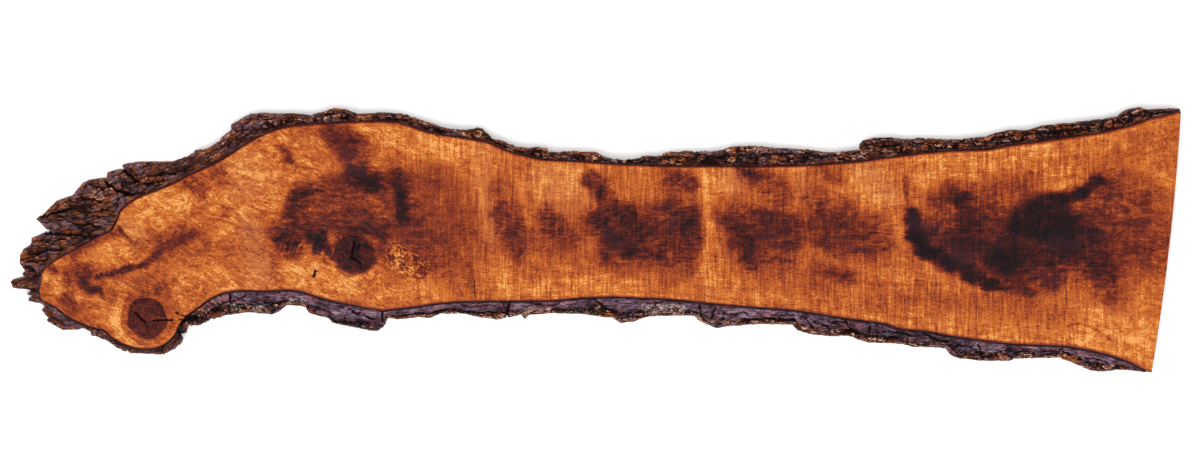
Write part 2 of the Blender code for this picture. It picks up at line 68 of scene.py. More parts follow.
# The live edge, as the solids have it: each stretch's name, its kind of bark, the points of the
# wood's edge and those of the bark's rim, from the right end's far corner round to its near one
LIVE_EDGE = [
    ("far_end", "crust",
     [(1000, 219), (978, 213), (947, 206), (923, 197)],
     [(998, 224), (976, 224), (945, 223), (930, 227), (913, 224), (901, 220)]),
    ("far_crotch", "crust",
     [(894, 189), (867, 183), (816, 175), (760, 167), (708, 160)],
     [(891, 212), (864, 205), (831, 202), (787, 197), (763, 195), (737, 188), (709, 188), (686, 183)]),
    ("far_thick_plate", "crust",
     [(671, 153), (633, 152), (592, 150), (541, 145), (487, 138)],
     [(668, 176), (630, 173), (591, 172), (553, 173), (529, 171), (504, 176), (477, 175), (458, 171),
      (451, 163)]),
    ("far_waist", "crust",
     [(451, 133), (402, 129), (350, 126), (280, 125), (209, 125), (132, 125)],
     [(451, 154), (432, 152), (400, 150), (378, 151), (364, 154), (313, 156), (280, 160), (240, 160),
      (209, 152), (170, 150), (132, 150), (112, 144)]),
    ("far_thin", "crust",
     [(79, 127), (49, 128), (6, 131), (-42, 134)],
     [(82, 144), (77, 139), (54, 136), (37, 137), (15, 143), (2, 150), (-35, 151), (-61, 150)]),
    ("far_neck", "crust",
     [(-83, 136), (-115, 142), (-142, 149), (-165, 158)],
     [(-79, 151), (-81, 157), (-101, 159), (-113, 157), (-136, 159), (-157, 170)]),
    ("far_hump_right", "crust",
     [(-183, 166), (-216, 172), (-250, 177), (-282, 183), (-325, 197)],
     [(-176, 172), (-176, 176), (-191, 190), (-199, 192), (-218, 188), (-246, 189), (-279, 199),
      (-322, 212)]),
    ("far_hump_left", "crust",
     [(-350, 201), (-403, 201), (-442, 199), (-480, 197), (-521, 193)],
     [(-349, 217), (-368, 218), (-403, 215), (-425, 223), (-444, 225), (-464, 219), (-482, 213),
      (-525, 216), (-551, 215)]),
    ("far_shoulder", "crust",
     [(-553, 184), (-586, 168), (-618, 147), (-647, 130)],
     [(-573, 217), (-586, 215), (-601, 207), (-621, 196), (-620, 188), (-637, 175), (-640, 169),
      (-661, 156), (-681, 153), (-683, 148)]),
    ("far_slope", "oblique",
     [(-685, 113), (-729, 91), (-770, 75), (-792, 63)],
     [(-700, 144), (-725, 136), (-763, 134), (-784, 133), (-806, 129), (-808, 122), (-833, 115),
      (-835, 106), (-864, 102)]),
    ("left_upper_plate", "oblique",
     [(-807, 50), (-812, 37), (-818, 24)],
     [(-876, 96), (-892, 76), (-919, 67), (-941, 45), (-955, 35)]),
    ("left_lower_plate", "oblique",
     [(-826, 15), (-857, 0), (-891, -19), (-923, -38)],
     [(-934, 15), (-962, 3), (-963, -8), (-976, -16), (-982, -27), (-983, -40), (-974, -53),
      (-979, -59)]),
    ("left_splinters", "splinter",
     [(-941, -55), (-942, -69), (-947, -88), (-943, -103)],
     [(-974, -63), (-993, -67), (-1000, -73), (-994, -83), (-965, -87), (-972, -94), (-961, -96),
      (-969, -101), (-967, -106)]),
    ("near_tip", "sawn",
     [(-932, -109), (-916, -117), (-901, -130), (-874, -144)],
     [(-940, -114), (-946, -121), (-943, -126), (-933, -135), (-938, -138), (-923, -148),
      (-907, -156), (-884, -154), (-875, -152)]),
    ("stub_left", "stub",
     [(-857, -150), (-836, -155), (-824, -166), (-802, -179), (-780, -185)],
     [(-861, -157), (-860, -165), (-847, -167), (-828, -176), (-815, -186), (-793, -194)]),
    ("stub_right", "stub",
     [(-761, -186), (-746, -184), (-730, -177), (-717, -164), (-710, -149)],
     [(-758, -196), (-735, -197), (-717, -188), (-703, -175)]),
    ("stub_notch", "stub",
     [(-703, -138), (-695, -130), (-675, -116)],
     [(-692, -147), (-676, -148)]),
    ("near_hollow", "sawn",
     [(-658, -103), (-635, -92), (-604, -87), (-562, -88)],
     [(-654, -137), (-632, -130), (-620, -128), (-594, -125), (-550, -128), (-536, -122)]),
    ("near_big_plate", "sawn",
     [(-526, -86), (-497, -90), (-458, -102), (-407, -113), (-364, -121)],
     [(-525, -112), (-494, -116), (-490, -125), (-453, -135), (-448, -142), (-395, -154),
      (-369, -156), (-357, -143)]),
    ("near_lichen", "sawn",
     [(-350, -120), (-301, -114), (-267, -109), (-221, -106), (-149, -105)],
     [(-353, -134), (-336, -137), (-299, -133), (-282, -135), (-263, -127), (-219, -128),
      (-196, -134), (-167, -137), (-149, -134)]),
    ("near_middle", "sawn",
     [(-125, -105), (-71, -104), (-20, -100), (32, -98)],
     [(-125, -128), (-119, -137), (-113, -129), (-71, -126), (-19, -128), (32, -135), (44, -143),
      (65, -141)]),
    ("near_ledge", "sawn",
     [(88, -100), (130, -102), (209, -110), (279, -116)],
     [(88, -133), (130, -130), (171, -131), (179, -140), (207, -152), (226, -149), (279, -145)]),
    ("near_flakes", "sawn",
     [(342, -121), (412, -132), (471, -140), (502, -145), (521, -152), (568, -157)],
     [(338, -146), (345, -155), (357, -160), (408, -166), (435, -165), (447, -171), (468, -176),
      (524, -179), (546, -184)]),
    ("near_chunks", "sawn",
     [(606, -164), (657, -171), (715, -178), (783, -181)],
     [(599, -186), (607, -197), (620, -203), (655, -207), (707, -208), (715, -204), (783, -202)]),
    ("near_end", "sawn",
     [(804, -182), (829, -186), (874, -196), (909, -208)],
     [(797, -202), (824, -215), (848, -224), (863, -226), (894, -223), (915, -224)]),
]
STRETCH_NAMES = [name for name, _, _, _ in LIVE_EDGE]
LIVE_EDGE_END = ((942, -225), (939, -227))
TIP_STRETCH = "left_splinters"
SAW_CUT_NEAR, SAW_CUT_FAR = (950, -227), (1000, 219)
SAW_CUT_BULGE = 0.006
EDGE_CURVE_STEPS = 10

# Kinds of bark, as the solids have them: a section of shares of the reach, of the thickness and of
# the full relief, how far the wood flares out under it, and a plate's length and width in metres
BARK_KINDS = {
    "crust": {
        "profile": [(0.00, 0.97, 0.00), (0.14, 0.91, 0.50), (0.36, 0.81, 1.00), (0.60, 0.83, 1.00),
                    (0.85, 0.75, 0.60), (1.00, 0.56, 0.15), (0.99, 0.37, 0.70), (0.95, 0.19, 0.90),
                    (0.90, 0.02, 0.30)],
        "flare": 0.25, "plate": (0.090, 0.021)},
    "sawn": {
        "profile": [(0.00, 0.98, 0.00), (0.30, 0.965, 0.10), (0.58, 0.94, 0.30), (0.66, 0.83, 1.00),
                    (0.84, 0.73, 0.80), (0.97, 0.59, 0.30), (1.00, 0.39, 0.20), (0.96, 0.19, 0.90),
                    (0.90, 0.02, 0.30)],
        "flare": 0.32, "plate": (0.085, 0.024)},
    "oblique": {
        "profile": [(0.00, 0.97, 0.00), (0.08, 0.91, 0.50), (0.22, 0.80, 1.00), (0.38, 0.68, 1.00),
                    (0.55, 0.55, 1.00), (0.72, 0.42, 1.00), (0.87, 0.29, 0.60), (1.00, 0.14, 0.10),
                    (0.98, 0.02, 0.10)],
        "flare": 0.45, "plate": (0.085, 0.020)},
    "splinter": {
        "profile": [(0.00, 0.97, 0.00), (0.12, 0.86, 0.50), (0.27, 0.72, 1.00), (0.42, 0.60, 1.00),
                    (0.57, 0.50, 1.00), (0.73, 0.40, 0.80), (0.88, 0.30, 0.50), (1.00, 0.17, 0.10),
                    (0.97, 0.02, 0.10)],
        "flare": 0.15, "plate": (0.060, 0.011)},
    "stub": {
        "profile": [(0.00, 0.98, 0.00), (0.20, 0.96, 0.30), (0.42, 0.93, 0.70), (0.64, 0.84, 1.00),
                    (0.86, 0.73, 0.60), (1.00, 0.54, 0.15), (0.99, 0.36, 0.70), (0.96, 0.19, 0.90),
                    (0.90, 0.02, 0.30)],
        "flare": 0.30, "plate": (0.016, 0.045)},
}
KIND_NAMES = list(BARK_KINDS)
STYLE_BLEND = 0.030
FLARE_BLEND = 0.035
NORMAL_BLEND = 0.005
FLARE_FADE = 0.14
FLARE_LIMIT = 0.9
PLATE_RISE = 0.0060
PROUD_SHARE = 0.25
FURROW_DEPTH = 0.0050
FURROW_WIDTH = 0.30
FULL_RELIEF_REACH = 0.022
LEAST_COVER = 0.0012
MOST_OBLIQUE = 0.4
RELIEF_SEED = 11
NEAR_PLATE_OFFSET = 5.2
END_PLATE = (0.085, 0.020)  # a plate's length and width at the left end
END_FIBRE_TURN = np.radians(8)  # how far the fibres there rise from X
END_BLEND = 0.010
PLATE_TILT = 0.5
PLATE_SPREAD = 0.7

# The bark's bands, by their first and last stretch
BARK_BANDS = {
    "bark_far_edge": ("far_end", "far_shoulder"),
    "bark_left_end": ("far_slope", "left_splinters"),
    "bark_near_edge": ("near_tip", "near_end"),
}
ROWS_PER_SPAN = 5  # rows of the mesh from one point of a bark section to the next
BAND_SPAN = 2.15  # where on the section the smooth sawn band breaks off, counted in its points
SLOPE_SPAN = 1.7  # where the bare slope beside the far edge's wood ends
WIDE_BANDS = {"near_hollow": 2.7, "near_big_plate": 4.0, "near_lichen": 3.0}  # the same where it is wider
END_STRETCHES = ("left_upper_plate", "left_splinters")  # between these the fibres run straight along X
CALM_STRETCHES = ("far_shoulder", "stub_right")  # between these the bark is smoother, of more even tone
LEAST_CALM = 0.42  # how much of that calm the bark has everywhere else
BREAK_SWAY = 0.13  # how far the band's broken edge wanders, as a share of the reach

# Cracks in the bark: two ends in millimetres of the plan, half width and depth in millimetres
BARK_CRACKS = [
    (-935, 15, -890, 10, 2.4, 5.5), (-890, 10, -848, 6, 2.2, 5.0), (-945, 41, -905, 52, 2.2, 5.0),
    (-905, 52, -880, 56, 1.8, 4.0), (-836, 99, -800, 80, 2.6, 5.5), (-800, 80, -766, 79, 2.8, 6.0),
    (-806, 122, -780, 100, 1.6, 3.5), (-862, 98, -838, 84, 1.4, 3.0), (-975, -50, -925, -54, 2.2, 4.5),
    (-900, 30, -842, 22, 1.6, 3.5), (-960, -20, -900, -15, 1.4, 3.0), (-880, 76, -845, 62, 1.3, 3.0),
    (-868, 44, -830, 52, 1.3, 3.0), (-950, -2, -905, 2, 1.2, 3.0), (-972, -36, -932, -34, 1.2, 3.0),
    (-760, 110, -720, 116, 1.4, 3.0), (-770, 96, -730, 104, 1.3, 3.0), (-621, -88, -618, -112, 1.2, 4.0),
    (-596, -100, -640, -112, 1.2, 3.0), (-560, -104, -528, -108, 1.2, 3.0),
    (-500, -110, -452, -126, 1.2, 3.0), (-470, -100, -420, -112, 1.0, 2.5),
    (-420, -118, -372, -136, 1.2, 3.0), (-364, -120, -358, -136, 1.8, 4.0),
    (-146, -103, -148, -134, 1.6, 4.5), (-230, -112, -180, -114, 1.0, 2.5),
    (-110, -112, -60, -110, 1.0, 2.5), (0, -104, 30, -122, 1.4, 3.5), (30, -122, 52, -126, 1.2, 3.0),
    (104, -106, 160, -108, 1.1, 2.5), (176, -108, 180, -128, 1.2, 3.0), (209, -116, 198, -134, 1.2, 3.0),
    (209, -128, 260, -126, 1.1, 2.5), (300, -128, 340, -128, 1.1, 2.5), (356, -132, 372, -148, 1.4, 3.0),
    (372, -138, 398, -150, 1.2, 3.0), (398, -140, 432, -142, 1.2, 3.0), (432, -142, 438, -160, 1.2, 3.0),
    (471, -144, 468, -160, 1.2, 3.0), (480, -156, 540, -162, 1.1, 2.5), (560, -160, 600, -176, 1.4, 3.5),
    (606, -180, 650, -186, 1.3, 3.0), (655, -178, 660, -200, 1.2, 3.0), (690, -190, 740, -190, 1.1, 2.5),
    (760, -188, 800, -188, 1.1, 2.5), (800, -192, 830, -206, 1.4, 3.5), (840, -200, 880, -212, 1.1, 2.5),
    (-846, -151, -852, -164, 1.2, 3.5), (-815, -171, -821, -181, 1.2, 3.5),
    (-792, -181, -796, -192, 1.2, 3.5), (-735, -181, -737, -194, 1.4, 3.5),
    # The last two are the dark hollow at the stub's notch, cut in and darkened as painted shade
    (-713, -155, -694, -166, 3.0, 6.0), (-704, -142, -682, -134, 5.0, 7.0),
]
CRACK_SWAY = 0.0056  # how far the cracks wander to either side
CRACK_SWAY_SIZE = 0.012
# Patches of grey lichen on the near edge: from and to along X in millimetres, the point of the
# section where each begins, and how much of it there is
LICHEN_PATCHES = [
    (-624, -560, 2.6, 1.0), (-528, -490, 1.8, 1.0), (-352, -280, 1.6, 0.5), (-135, 12, 1.7, 0.8),
    (76, 158, 0.9, 1.0), (540, 600, 2.4, 0.5), (640, 700, 2.4, 0.5), (-448, -390, 4.0, 0.8),
]

# Marks of the wood's figure: two ends, half width and softness in millimetres of the plan, and
# strength as a share of the way to black or to gold
DARK_MARKS = [
    # left tip and the branch's side
    (-850, -68, -809, -50, 2.5, 5, 0.46), (-809, -50, -775, -41, 2.5, 5, 0.50),
    (-775, -41, -745, -24, 3, 6, 0.42), (-745, -24, -715, -6, 6, 9, 0.34),
    (-900, -20, -868, -12, 8, 9, 0.22), (-715, -4, -690, 4, 8, 10, 0.34), (-690, 4, -628, 47, 8, 16, 0.18),
    (-875, -78, -858, -88, 8, 7, 0.46), (-858, -88, -838, -90, 6, 6, 0.52),
    (-838, -90, -832, -102, 4, 5, 0.42), (-908, -104, -893, -118, 9, 9, 0.34),
    (-930, -47, -921, -56, 4, 5, 0.60), (-905, -62, -894, -89, 4, 6, 0.30),
    (-893, -55, -872, -60, 12, 12, 0.36), (-881, -28, -850, -72, 20, 24, 0.14),
    (-693, 102, -666, 81, 12, 14, 0.36), (-649, 119, -632, 102, 9, 13, 0.22),
    (-809, 15, -782, -1, 2.5, 4, 0.44), (-735, -2, -700, 18, 10, 14, 0.22),
    (-860, -8, -812, 12, 3, 8, 0.22), (-700, 40, -660, 60, 4, 10, 0.20), (-770, -94, -716, -78, 4, 9, 0.26),
    (-535, 160, -524, 139, 6, 9, 0.32), (-526, 136, -499, 125, 3, 5, 0.28),
    (-499, 125, -470, 122, 2, 4, 0.26), (-539, 16, -518, 2, 12, 15, 0.38),
    (-534, -6, -514, -22, 12, 13, 0.30), (-552, -26, -548, -70, 2.5, 5, 0.24),
    (-741, -38, -591, -18, 14, 24, 0.08), (-775, -69, -732, -58, 10, 17, 0.16),
    (-812, -96, -790, -104, 8, 12, 0.16),
    # round the upper branch knot
    (-446, 186, -413, 160, 13, 22, 0.46), (-398, 170, -378, 154, 6, 16, 0.26),
    (-428, 150, -400, 132, 13, 22, 0.36), (-430, 15, -388, 14, 5, 12, 0.34),
    (-366, 6, -361, -22, 4, 12, 0.42), (-462, -34, -452, -50, 3, 8, 0.30),
    (-411, 112, -380, 96, 13, 16, 0.70), (-380, 92, -345, 104, 10, 16, 0.34),
    (-400, 84, -366, 78, 8, 12, 0.34), (-338, 104, -330, 78, 7, 12, 0.50),
    (-332, 74, -326, 36, 7, 11, 0.68), (-322, 100, -312, 60, 5, 12, 0.26),
    (-530, 2, -515, 50, 10, 14, 0.28), (-515, 50, -497, 78, 10, 15, 0.30),
    (-497, 78, -440, 101, 12, 18, 0.36), (-492, 40, -425, 60, 26, 30, 0.36),
    (-490, 12, -400, 28, 18, 24, 0.28), (-500, 20, -515, -10, 12, 14, 0.14),
    (-481, 6, -472, -18, 8, 8, 0.80), (-464, 8, -452, -18, 7, 8, 0.76), (-446, -14, -442, -30, 5, 6, 0.46),
    (-394, 16, -355, 4, 10, 16, 0.34), (-385, 38, -312, 10, 10, 24, 0.26),
    (-360, 62, -300, 34, 12, 26, 0.20), (-357, 23, -263, -11, 24, 34, 0.16),
    (-310, 84, -199, 14, 36, 44, 0.18), (-272, 117, -270, 100, 6, 12, 0.28),
    (-209, -38, -205, -98, 2, 6, 0.16), (-187, 132, -182, 78, 2, 5, 0.12),
    (-292, -18, -226, -70, 22, 28, 0.22), (-369, -21, -355, -52, 9, 16, 0.12),
    # middle
    (-165, 95, -150, 20, 14, 24, 0.20), (-146, 40, -132, -10, 16, 20, 0.30),
    (-136, 6, -128, -26, 9, 12, 0.26), (-82, 42, -66, 22, 12, 16, 0.44), (-101, 6, -25, 6, 12, 24, 0.12),
    (-8, 102, 14, 84, 13, 15, 0.48), (14, 74, 30, 60, 9, 13, 0.42), (12, 26, 22, -16, 13, 16, 0.46),
    (30, 0, 52, -22, 14, 18, 0.40), (44, 52, 66, 48, 11, 15, 0.38), (22, 30, 70, 10, 24, 24, 0.30),
    (70, 40, 160, 34, 22, 24, 0.34), (60, 4, 160, -6, 26, 24, 0.38), (80, -34, 160, -40, 12, 18, 0.30),
    (138, 60, 166, 20, 15, 16, 0.32), (134, 108, 163, 100, 11, 14, 0.46), (120, 82, 165, 74, 9, 14, 0.18),
    (8, -40, 60, -50, 6, 14, 0.20), (10, 24, 124, -14, 42, 40, 0.12), (-104, 28, -44, 4, 18, 36, 0.16),
    (40, 110, 136, 104, 20, 30, 0.10),
    # right of the middle
    (258, 34, 318, -8, 34, 36, 0.20), (262, -52, 316, -62, 14, 36, 0.14), (330, 22, 380, 4, 16, 36, 0.12),
    (392, 34, 460, -10, 30, 38, 0.08), (380, -62, 440, -72, 12, 32, 0.12),
    (262, 112, 322, 94, 10, 32, 0.14), (244, 120, 270, 104, 9, 11, 0.48), (279, 118, 314, 76, 14, 20, 0.32),
    (246, 34, 322, 30, 16, 20, 0.36), (250, 12, 330, 2, 15, 20, 0.40), (212, 44, 240, 30, 9, 12, 0.26),
    (260, -16, 268, -44, 9, 12, 0.46), (274, -38, 330, -40, 2, 5, 0.32), (244, -10, 286, -40, 14, 18, 0.22),
    (340, 40, 350, 0, 8, 16, 0.20), (366, 74, 430, 44, 18, 24, 0.26), (398, 110, 424, 102, 5, 9, 0.30),
    (371, 119, 436, 119, 7, 12, 0.14), (388, 18, 482, 4, 22, 24, 0.40), (398, -14, 470, -18, 10, 16, 0.26),
    (386, -44, 436, -58, 8, 14, 0.26), (400, -62, 440, -68, 5, 12, 0.22),
    # the fork: its point, lower arm, inside, core, upper arm and what surrounds them
    (534, 102, 537, 60, 2.5, 7, 0.42), (541, 38, 545, 12, 10, 10, 0.88), (545, 12, 568, -18, 10, 11, 0.80),
    (568, -18, 604, -38, 11, 12, 0.76), (604, -38, 640, -56, 10, 12, 0.72),
    (640, -56, 676, -74, 9, 12, 0.66), (676, -76, 736, -88, 7, 12, 0.56), (560, 6, 640, -14, 17, 20, 0.50),
    (630, -14, 700, -30, 24, 24, 0.54), (640, 16, 720, 6, 20, 24, 0.44), (700, -40, 770, -56, 24, 22, 0.58),
    (700, -20, 790, -6, 24, 22, 0.50), (726, 34, 796, 22, 24, 18, 0.76), (742, 58, 796, 50, 13, 14, 0.60),
    (760, 0, 800, -10, 22, 20, 0.46), (752, 64, 798, 70, 8, 10, 0.66), (798, 70, 832, 78, 8, 9, 0.74),
    (832, 78, 862, 96, 7, 9, 0.72), (862, 96, 885, 92, 4, 9, 0.34), (600, 84, 628, 64, 8, 13, 0.32),
    (628, 64, 636, 30, 10, 14, 0.36), (641, 94, 632, 72, 4, 8, 0.34), (600, 60, 670, 44, 24, 28, 0.38),
    (670, 84, 740, 90, 8, 20, 0.22), (560, 30, 600, 26, 12, 18, 0.30), (668, -76, 671, -83, 4, 6, 0.40),
    (738, -78, 740, -92, 3, 6, 0.36), (812, 30, 850, -30, 28, 34, 0.50), (840, 0, 886, -60, 28, 42, 0.38),
    (800, -60, 862, -78, 16, 28, 0.24), (884, -96, 898, -112, 8, 20, 0.16),
    (880, 112, 936, 92, 14, 28, 0.18), (884, 151, 899, 139, 4, 9, 0.18), (920, 170, 933, 160, 4, 9, 0.16),
    (872, 60, 950, -10, 30, 50, 0.38), (880, 70, 960, 60, 10, 40, 0.18),
    (600, -116, 800, -126, 16, 30, 0.12), (804, -149, 824, -140, 1.2, 2.5, 0.30),
    (824, -140, 852, -151, 1.2, 2.5, 0.30), (852, -151, 874, -161, 1.2, 2.5, 0.30),
    (879, -164, 882, -164, 2.5, 3, 0.45),
]
SERRATED_LINE = (-848, -67, -776, -42, 10, 7)  # two ends, and how many teeth of what length stand on it
GOLDEN_MARKS = [
    (-752, -171, -742, -181, 1, 3, 1.0), (-862, -28, -806, -10, 13, 13, 0.85),
    (-792, 30, -724, 56, 15, 20, 0.68), (-932, -66, -914, -96, 5, 6, 0.95),
    (-903, -84, -896, -102, 3, 5, 0.9), (-770, 66, -700, 96, 12, 14, 0.62),
    (-690, 40, -640, 14, 14, 18, 0.58), (-740, -60, -640, -40, 14, 22, 0.48),
    (-615, 149, -570, 112, 22, 24, 0.65), (-546, 170, -502, 153, 19, 20, 0.5),
    (-664, -65, -574, -83, 12, 20, 0.5), (-848, -106, -812, -144, 12, 17, 0.45),
    (-509, -62, -425, -79, 19, 17, 0.6), (-376, 187, -277, 153, 22, 24, 0.65),
    (-83, 98, -49, 81, 26, 31, 0.4), (-195, 153, -182, 13, 10, 17, 0.35), (-160, -82, 78, -82, 14, 22, 0.5),
    (192, 98, 197, -60, 10, 14, 0.45), (78, 107, 98, 91, 15, 17, 0.4), (346, 120, 352, 66, 12, 18, 0.55),
    (333, 64, 342, 8, 5, 14, 0.2), (452, 108, 506, 78, 18, 22, 0.5), (-720, 80, -640, 60, 34, 44, 0.6),
    (-560, 80, -500, 100, 34, 50, 0.4), (572, 136, 760, 153, 19, 28, 0.45),
    (760, 160, 947, 194, 19, 27, 0.32), (824, -164, 944, -178, 24, 30, 0.85),
    (916, -106, 954, -151, 18, 28, 0.4), (891, 117, 939, 119, 1.5, 4, 0.3),
    (939, 119, 986, 114, 1.5, 4, 0.3), (-425, 62, -349, 79, 5, 12, 0.35),
    (-263, 153, -161, 127, 14, 24, 0.5), (-416, -68, -372, -62, 6, 14, 0.5),
    (-530, -44, -440, -48, 8, 14, 0.5), (230, -92, 330, -98, 12, 22, 0.3),
]
# Golden marks that stay straight and cover what is dark under them
STRAIGHT_GOLDEN_MARKS = [(187, 126, 196, -104, 3, 9, 0.55), (-190, 150, -184, 0, 2, 8, 0.35)]
PALE_MARKS = [
    (-587, 23, -567, -72, 15, 19, 0.55), (-608, 85, -574, 95, 12, 15, 0.4),
    (-615, 144, -567, 102, 20, 24, 0.3), (-799, 20, -778, 11, 10, 10, 0.5),
    (463, 117, 504, 76, 15, 17, 0.6), (-84, 98, -45, 81, 26, 31, 0.4), (-192, 153, -178, -1, 10, 17, 0.35),
    (214, 136, 240, 93, 14, 17, 0.35), (352, 110, 356, 70, 8, 12, 0.3),
]
# Where flame-like fringes and quilted curls stand in the figure, placed and given in the same way
FRINGE_MARKS = [(-524, -6, -500, -22, 12, 26, 0.9), (-500, -16, -446, -30, 16, 22, 1.0)]
QUILT_MARKS = [(-340, -26, -302, -48, 18, 18, 1.0)]
# Checks in the wood: two ends, half width and depth in millimetres
CHECKS = [
    (-783, -124, -766, -141, 1.4, 2.4), (-752, -138, -719, -137, 1.3, 2.4),
    (-766, -141, -760, -150, 0.5, 0.8), (-752, -166, -745, -178, 0.25, 0.3),
    (-714, -124, -705, -129, 1.0, 1.4), (-705, -129, -695, -130, 0.9, 1.0),
    (-708, -135, -700, -138, 0.7, 0.9), (-409, -4, -414, -29, 2.0, 2.6), (-414, -29, -399, -40, 1.9, 2.2),
    (-400, -7, -404, -16, 1.1, 1.6), (-476, -53, -478, -63, 2.2, 4.0), (-205, -70, -204, -98, 0.3, 0.4),
]
# The knots: middle and radius in metres, and how many lobes the outline has and how they are turned
STUB_KNOT = ((-0.763, -0.1340), 0.0342, 5, 1.1)
UPPER_KNOT = ((-0.410, -0.0255), 0.033, 3, 0.4)
CUT_CORE = (0.0, -0.02, -0.16)  # the growth rings of the saw cut run round this place in Y and Z
CRESCENT_WAY = (-0.80, -0.60)  # the side of the branch's knot on which a golden crescent stands

# The mesh of the wood: zones along X with more columns, as middle, half width and spacing in metres
CLOSE_COLUMNS = [(-0.765, 0.085, 0.0016), (-0.410, 0.020, 0.0012), (-0.477, 0.005, 0.0014)]
COLUMN_RANGE = (-0.947, 1.0)  # the wood's left tip and its far right corner along X
ZONE_FADE = 0.008
TIP_SPACING, TIP_GROWTH = 0.0012, 0.25  # the columns' spacing at the tip, and how it grows from there
CLOSE_ROWS = (0.10, 0.36, 2.2)  # the shares of a chord between which rows are closer, and by how much
INNER_ROWS = 126
UNDERSIDE_EVERY = 3  # each so many rows of the top one goes on across the underside
WALL_LEVELS = (0.66, 0.33)
SHARP_EDGE = np.radians(35)
FULL_TURN = 6.283  # in radians

# The stage's lights lift white past the screen's white, so every colour is this share of what is seen
STAGE_SHARE = 0.60
# The lights: name, the setting for its strength and how many times over it counts, and the light's
# softness, tilt and turn in degrees
LIGHTS = [
    ("key_light", "key_strength", 1.0, 46, 27, -14), ("far_fill", "fill_strength", 1.36, 60, -50, 10),
    ("left_fill", "fill_strength", 1.0, 60, 50, -100), ("right_fill", "fill_strength", 1.0, 60, 50, 80),
]
SENSOR_WIDTH = 36.0  # the camera's, in millimetres
FAR_LIMIT = 100.0

# How much light the oiled wood and the dry bark throw back, as the shader's share
WOOD_SPECULAR = 0.07
BARK_SPECULAR = 0.10

# The wood's colours from the darkest figure to the brightest, as screen values from 0 to 255
WOOD_COLOURS = [
    (0.00, (11, 1, 6)), (0.09, (31, 7, 11)), (0.19, (54, 15, 15)), (0.31, (82, 24, 17)),
    (0.43, (108, 35, 19)), (0.54, (135, 51, 24)), (0.65, (162, 70, 28)), (0.75, (187, 91, 34)),
    (0.84, (206, 111, 43)), (0.92, (221, 131, 56)), (1.00, (243, 171, 94)),
]
BARK_COLOURS = [
    (0.00, (9, 3, 4)), (0.18, (32, 13, 12)), (0.38, (70, 35, 30)), (0.56, (108, 61, 50)),
    (0.74, (160, 102, 80)), (1.00, (246, 196, 160)),
]
BAND_COLOURS = [
    (0.00, (12, 4, 7)), (0.26, (52, 29, 38)), (0.50, (94, 64, 80)), (0.74, (128, 100, 118)),
    (1.00, (172, 146, 156)),
]


def screen_colour(red, green, blue):
    """A colour as the stage shows it, from screen values of 0 to 255: linear shares, and opacity 1."""
    shares = np.array([red, green, blue]) / 255
    light = np.where(shares <= 0.04045, shares / 12.92, ((shares + 0.055) / 1.055) ** 2.4)
    return (*(float(value) * STAGE_SHARE for value in light), 1.0)


def length_setting(label, description, default, low, high):
    """A setting in metres."""
    return bpy.props.FloatProperty(name=label, description=description, default=default,
                                   min=low, max=high, unit="LENGTH")


def share_setting(label, description, default, low, high):
    """A setting without a unit."""
    return bpy.props.FloatProperty(name=label, description=description, default=default,
                                   min=low, max=high, subtype="FACTOR")


def colour_setting(label, description, colour):
    """A colour, set by its red, green and blue shares."""
    return bpy.props.FloatVectorProperty(name=label, description=description, default=colour[:3],
                                         size=3, min=0.0, max=1.0, subtype="COLOR")


class WoodSettings(bpy.types.PropertyGroup):
    """Sizes and finish of the sawn wood."""

    column_spacing: length_setting(
        "Column spacing", "Distance between the mesh's columns along the slab", 0.0046, 0.002, 0.02)
    edge_rounding: length_setting(
        "Edge rounding", "Radius to which the top face's edges are sanded", 0.0012, 0.0002, 0.004)
    hollow_depth: length_setting(
        "Hollow depth", "How far the sanded face lies under its highest places", 0.0005, 0.0, 0.003)
    dark_figure: share_setting(
        "Dark figure", "Strength of the dark marks in the figure", 1.0, 0.0, 1.2)
    golden_figure: share_setting(
        "Golden figure", "Strength of the golden marks in the figure", 1.0, 0.0, 1.2)
    pale_colour: colour_setting(
        "Pale colour", "Colour of the paler, greyer wood", screen_colour(206, 132, 84))
    roughness: share_setting(
        "Roughness", "Roughness of the oiled face", 0.34, 0.05, 1.0)


class BarkSettings(bpy.types.PropertyGroup):
    """Sizes and colours of the bark."""

    station_spacing: length_setting(
        "Station spacing", "Distance between the mesh's sections along the edge", 0.0012, 0.0008, 0.01)
    flake_rise: length_setting(
        "Flake rise", "Step between one flake and the next", 0.0032, 0.0, 0.006)
    grit_rise: length_setting(
        "Grit rise", "Height of the finest lumps", 0.0011, 0.0, 0.003)
    slope_colour: colour_setting(
        "Slope colour", "Colour of the bare slope beside the wood", screen_colour(78, 31, 20))
    lichen_colour: colour_setting(
        "Lichen colour", "Colour of the dry lichen", screen_colour(212, 188, 172))
    roughness: share_setting(
        "Roughness", "Roughness of the dry bark", 0.66, 0.05, 1.0)


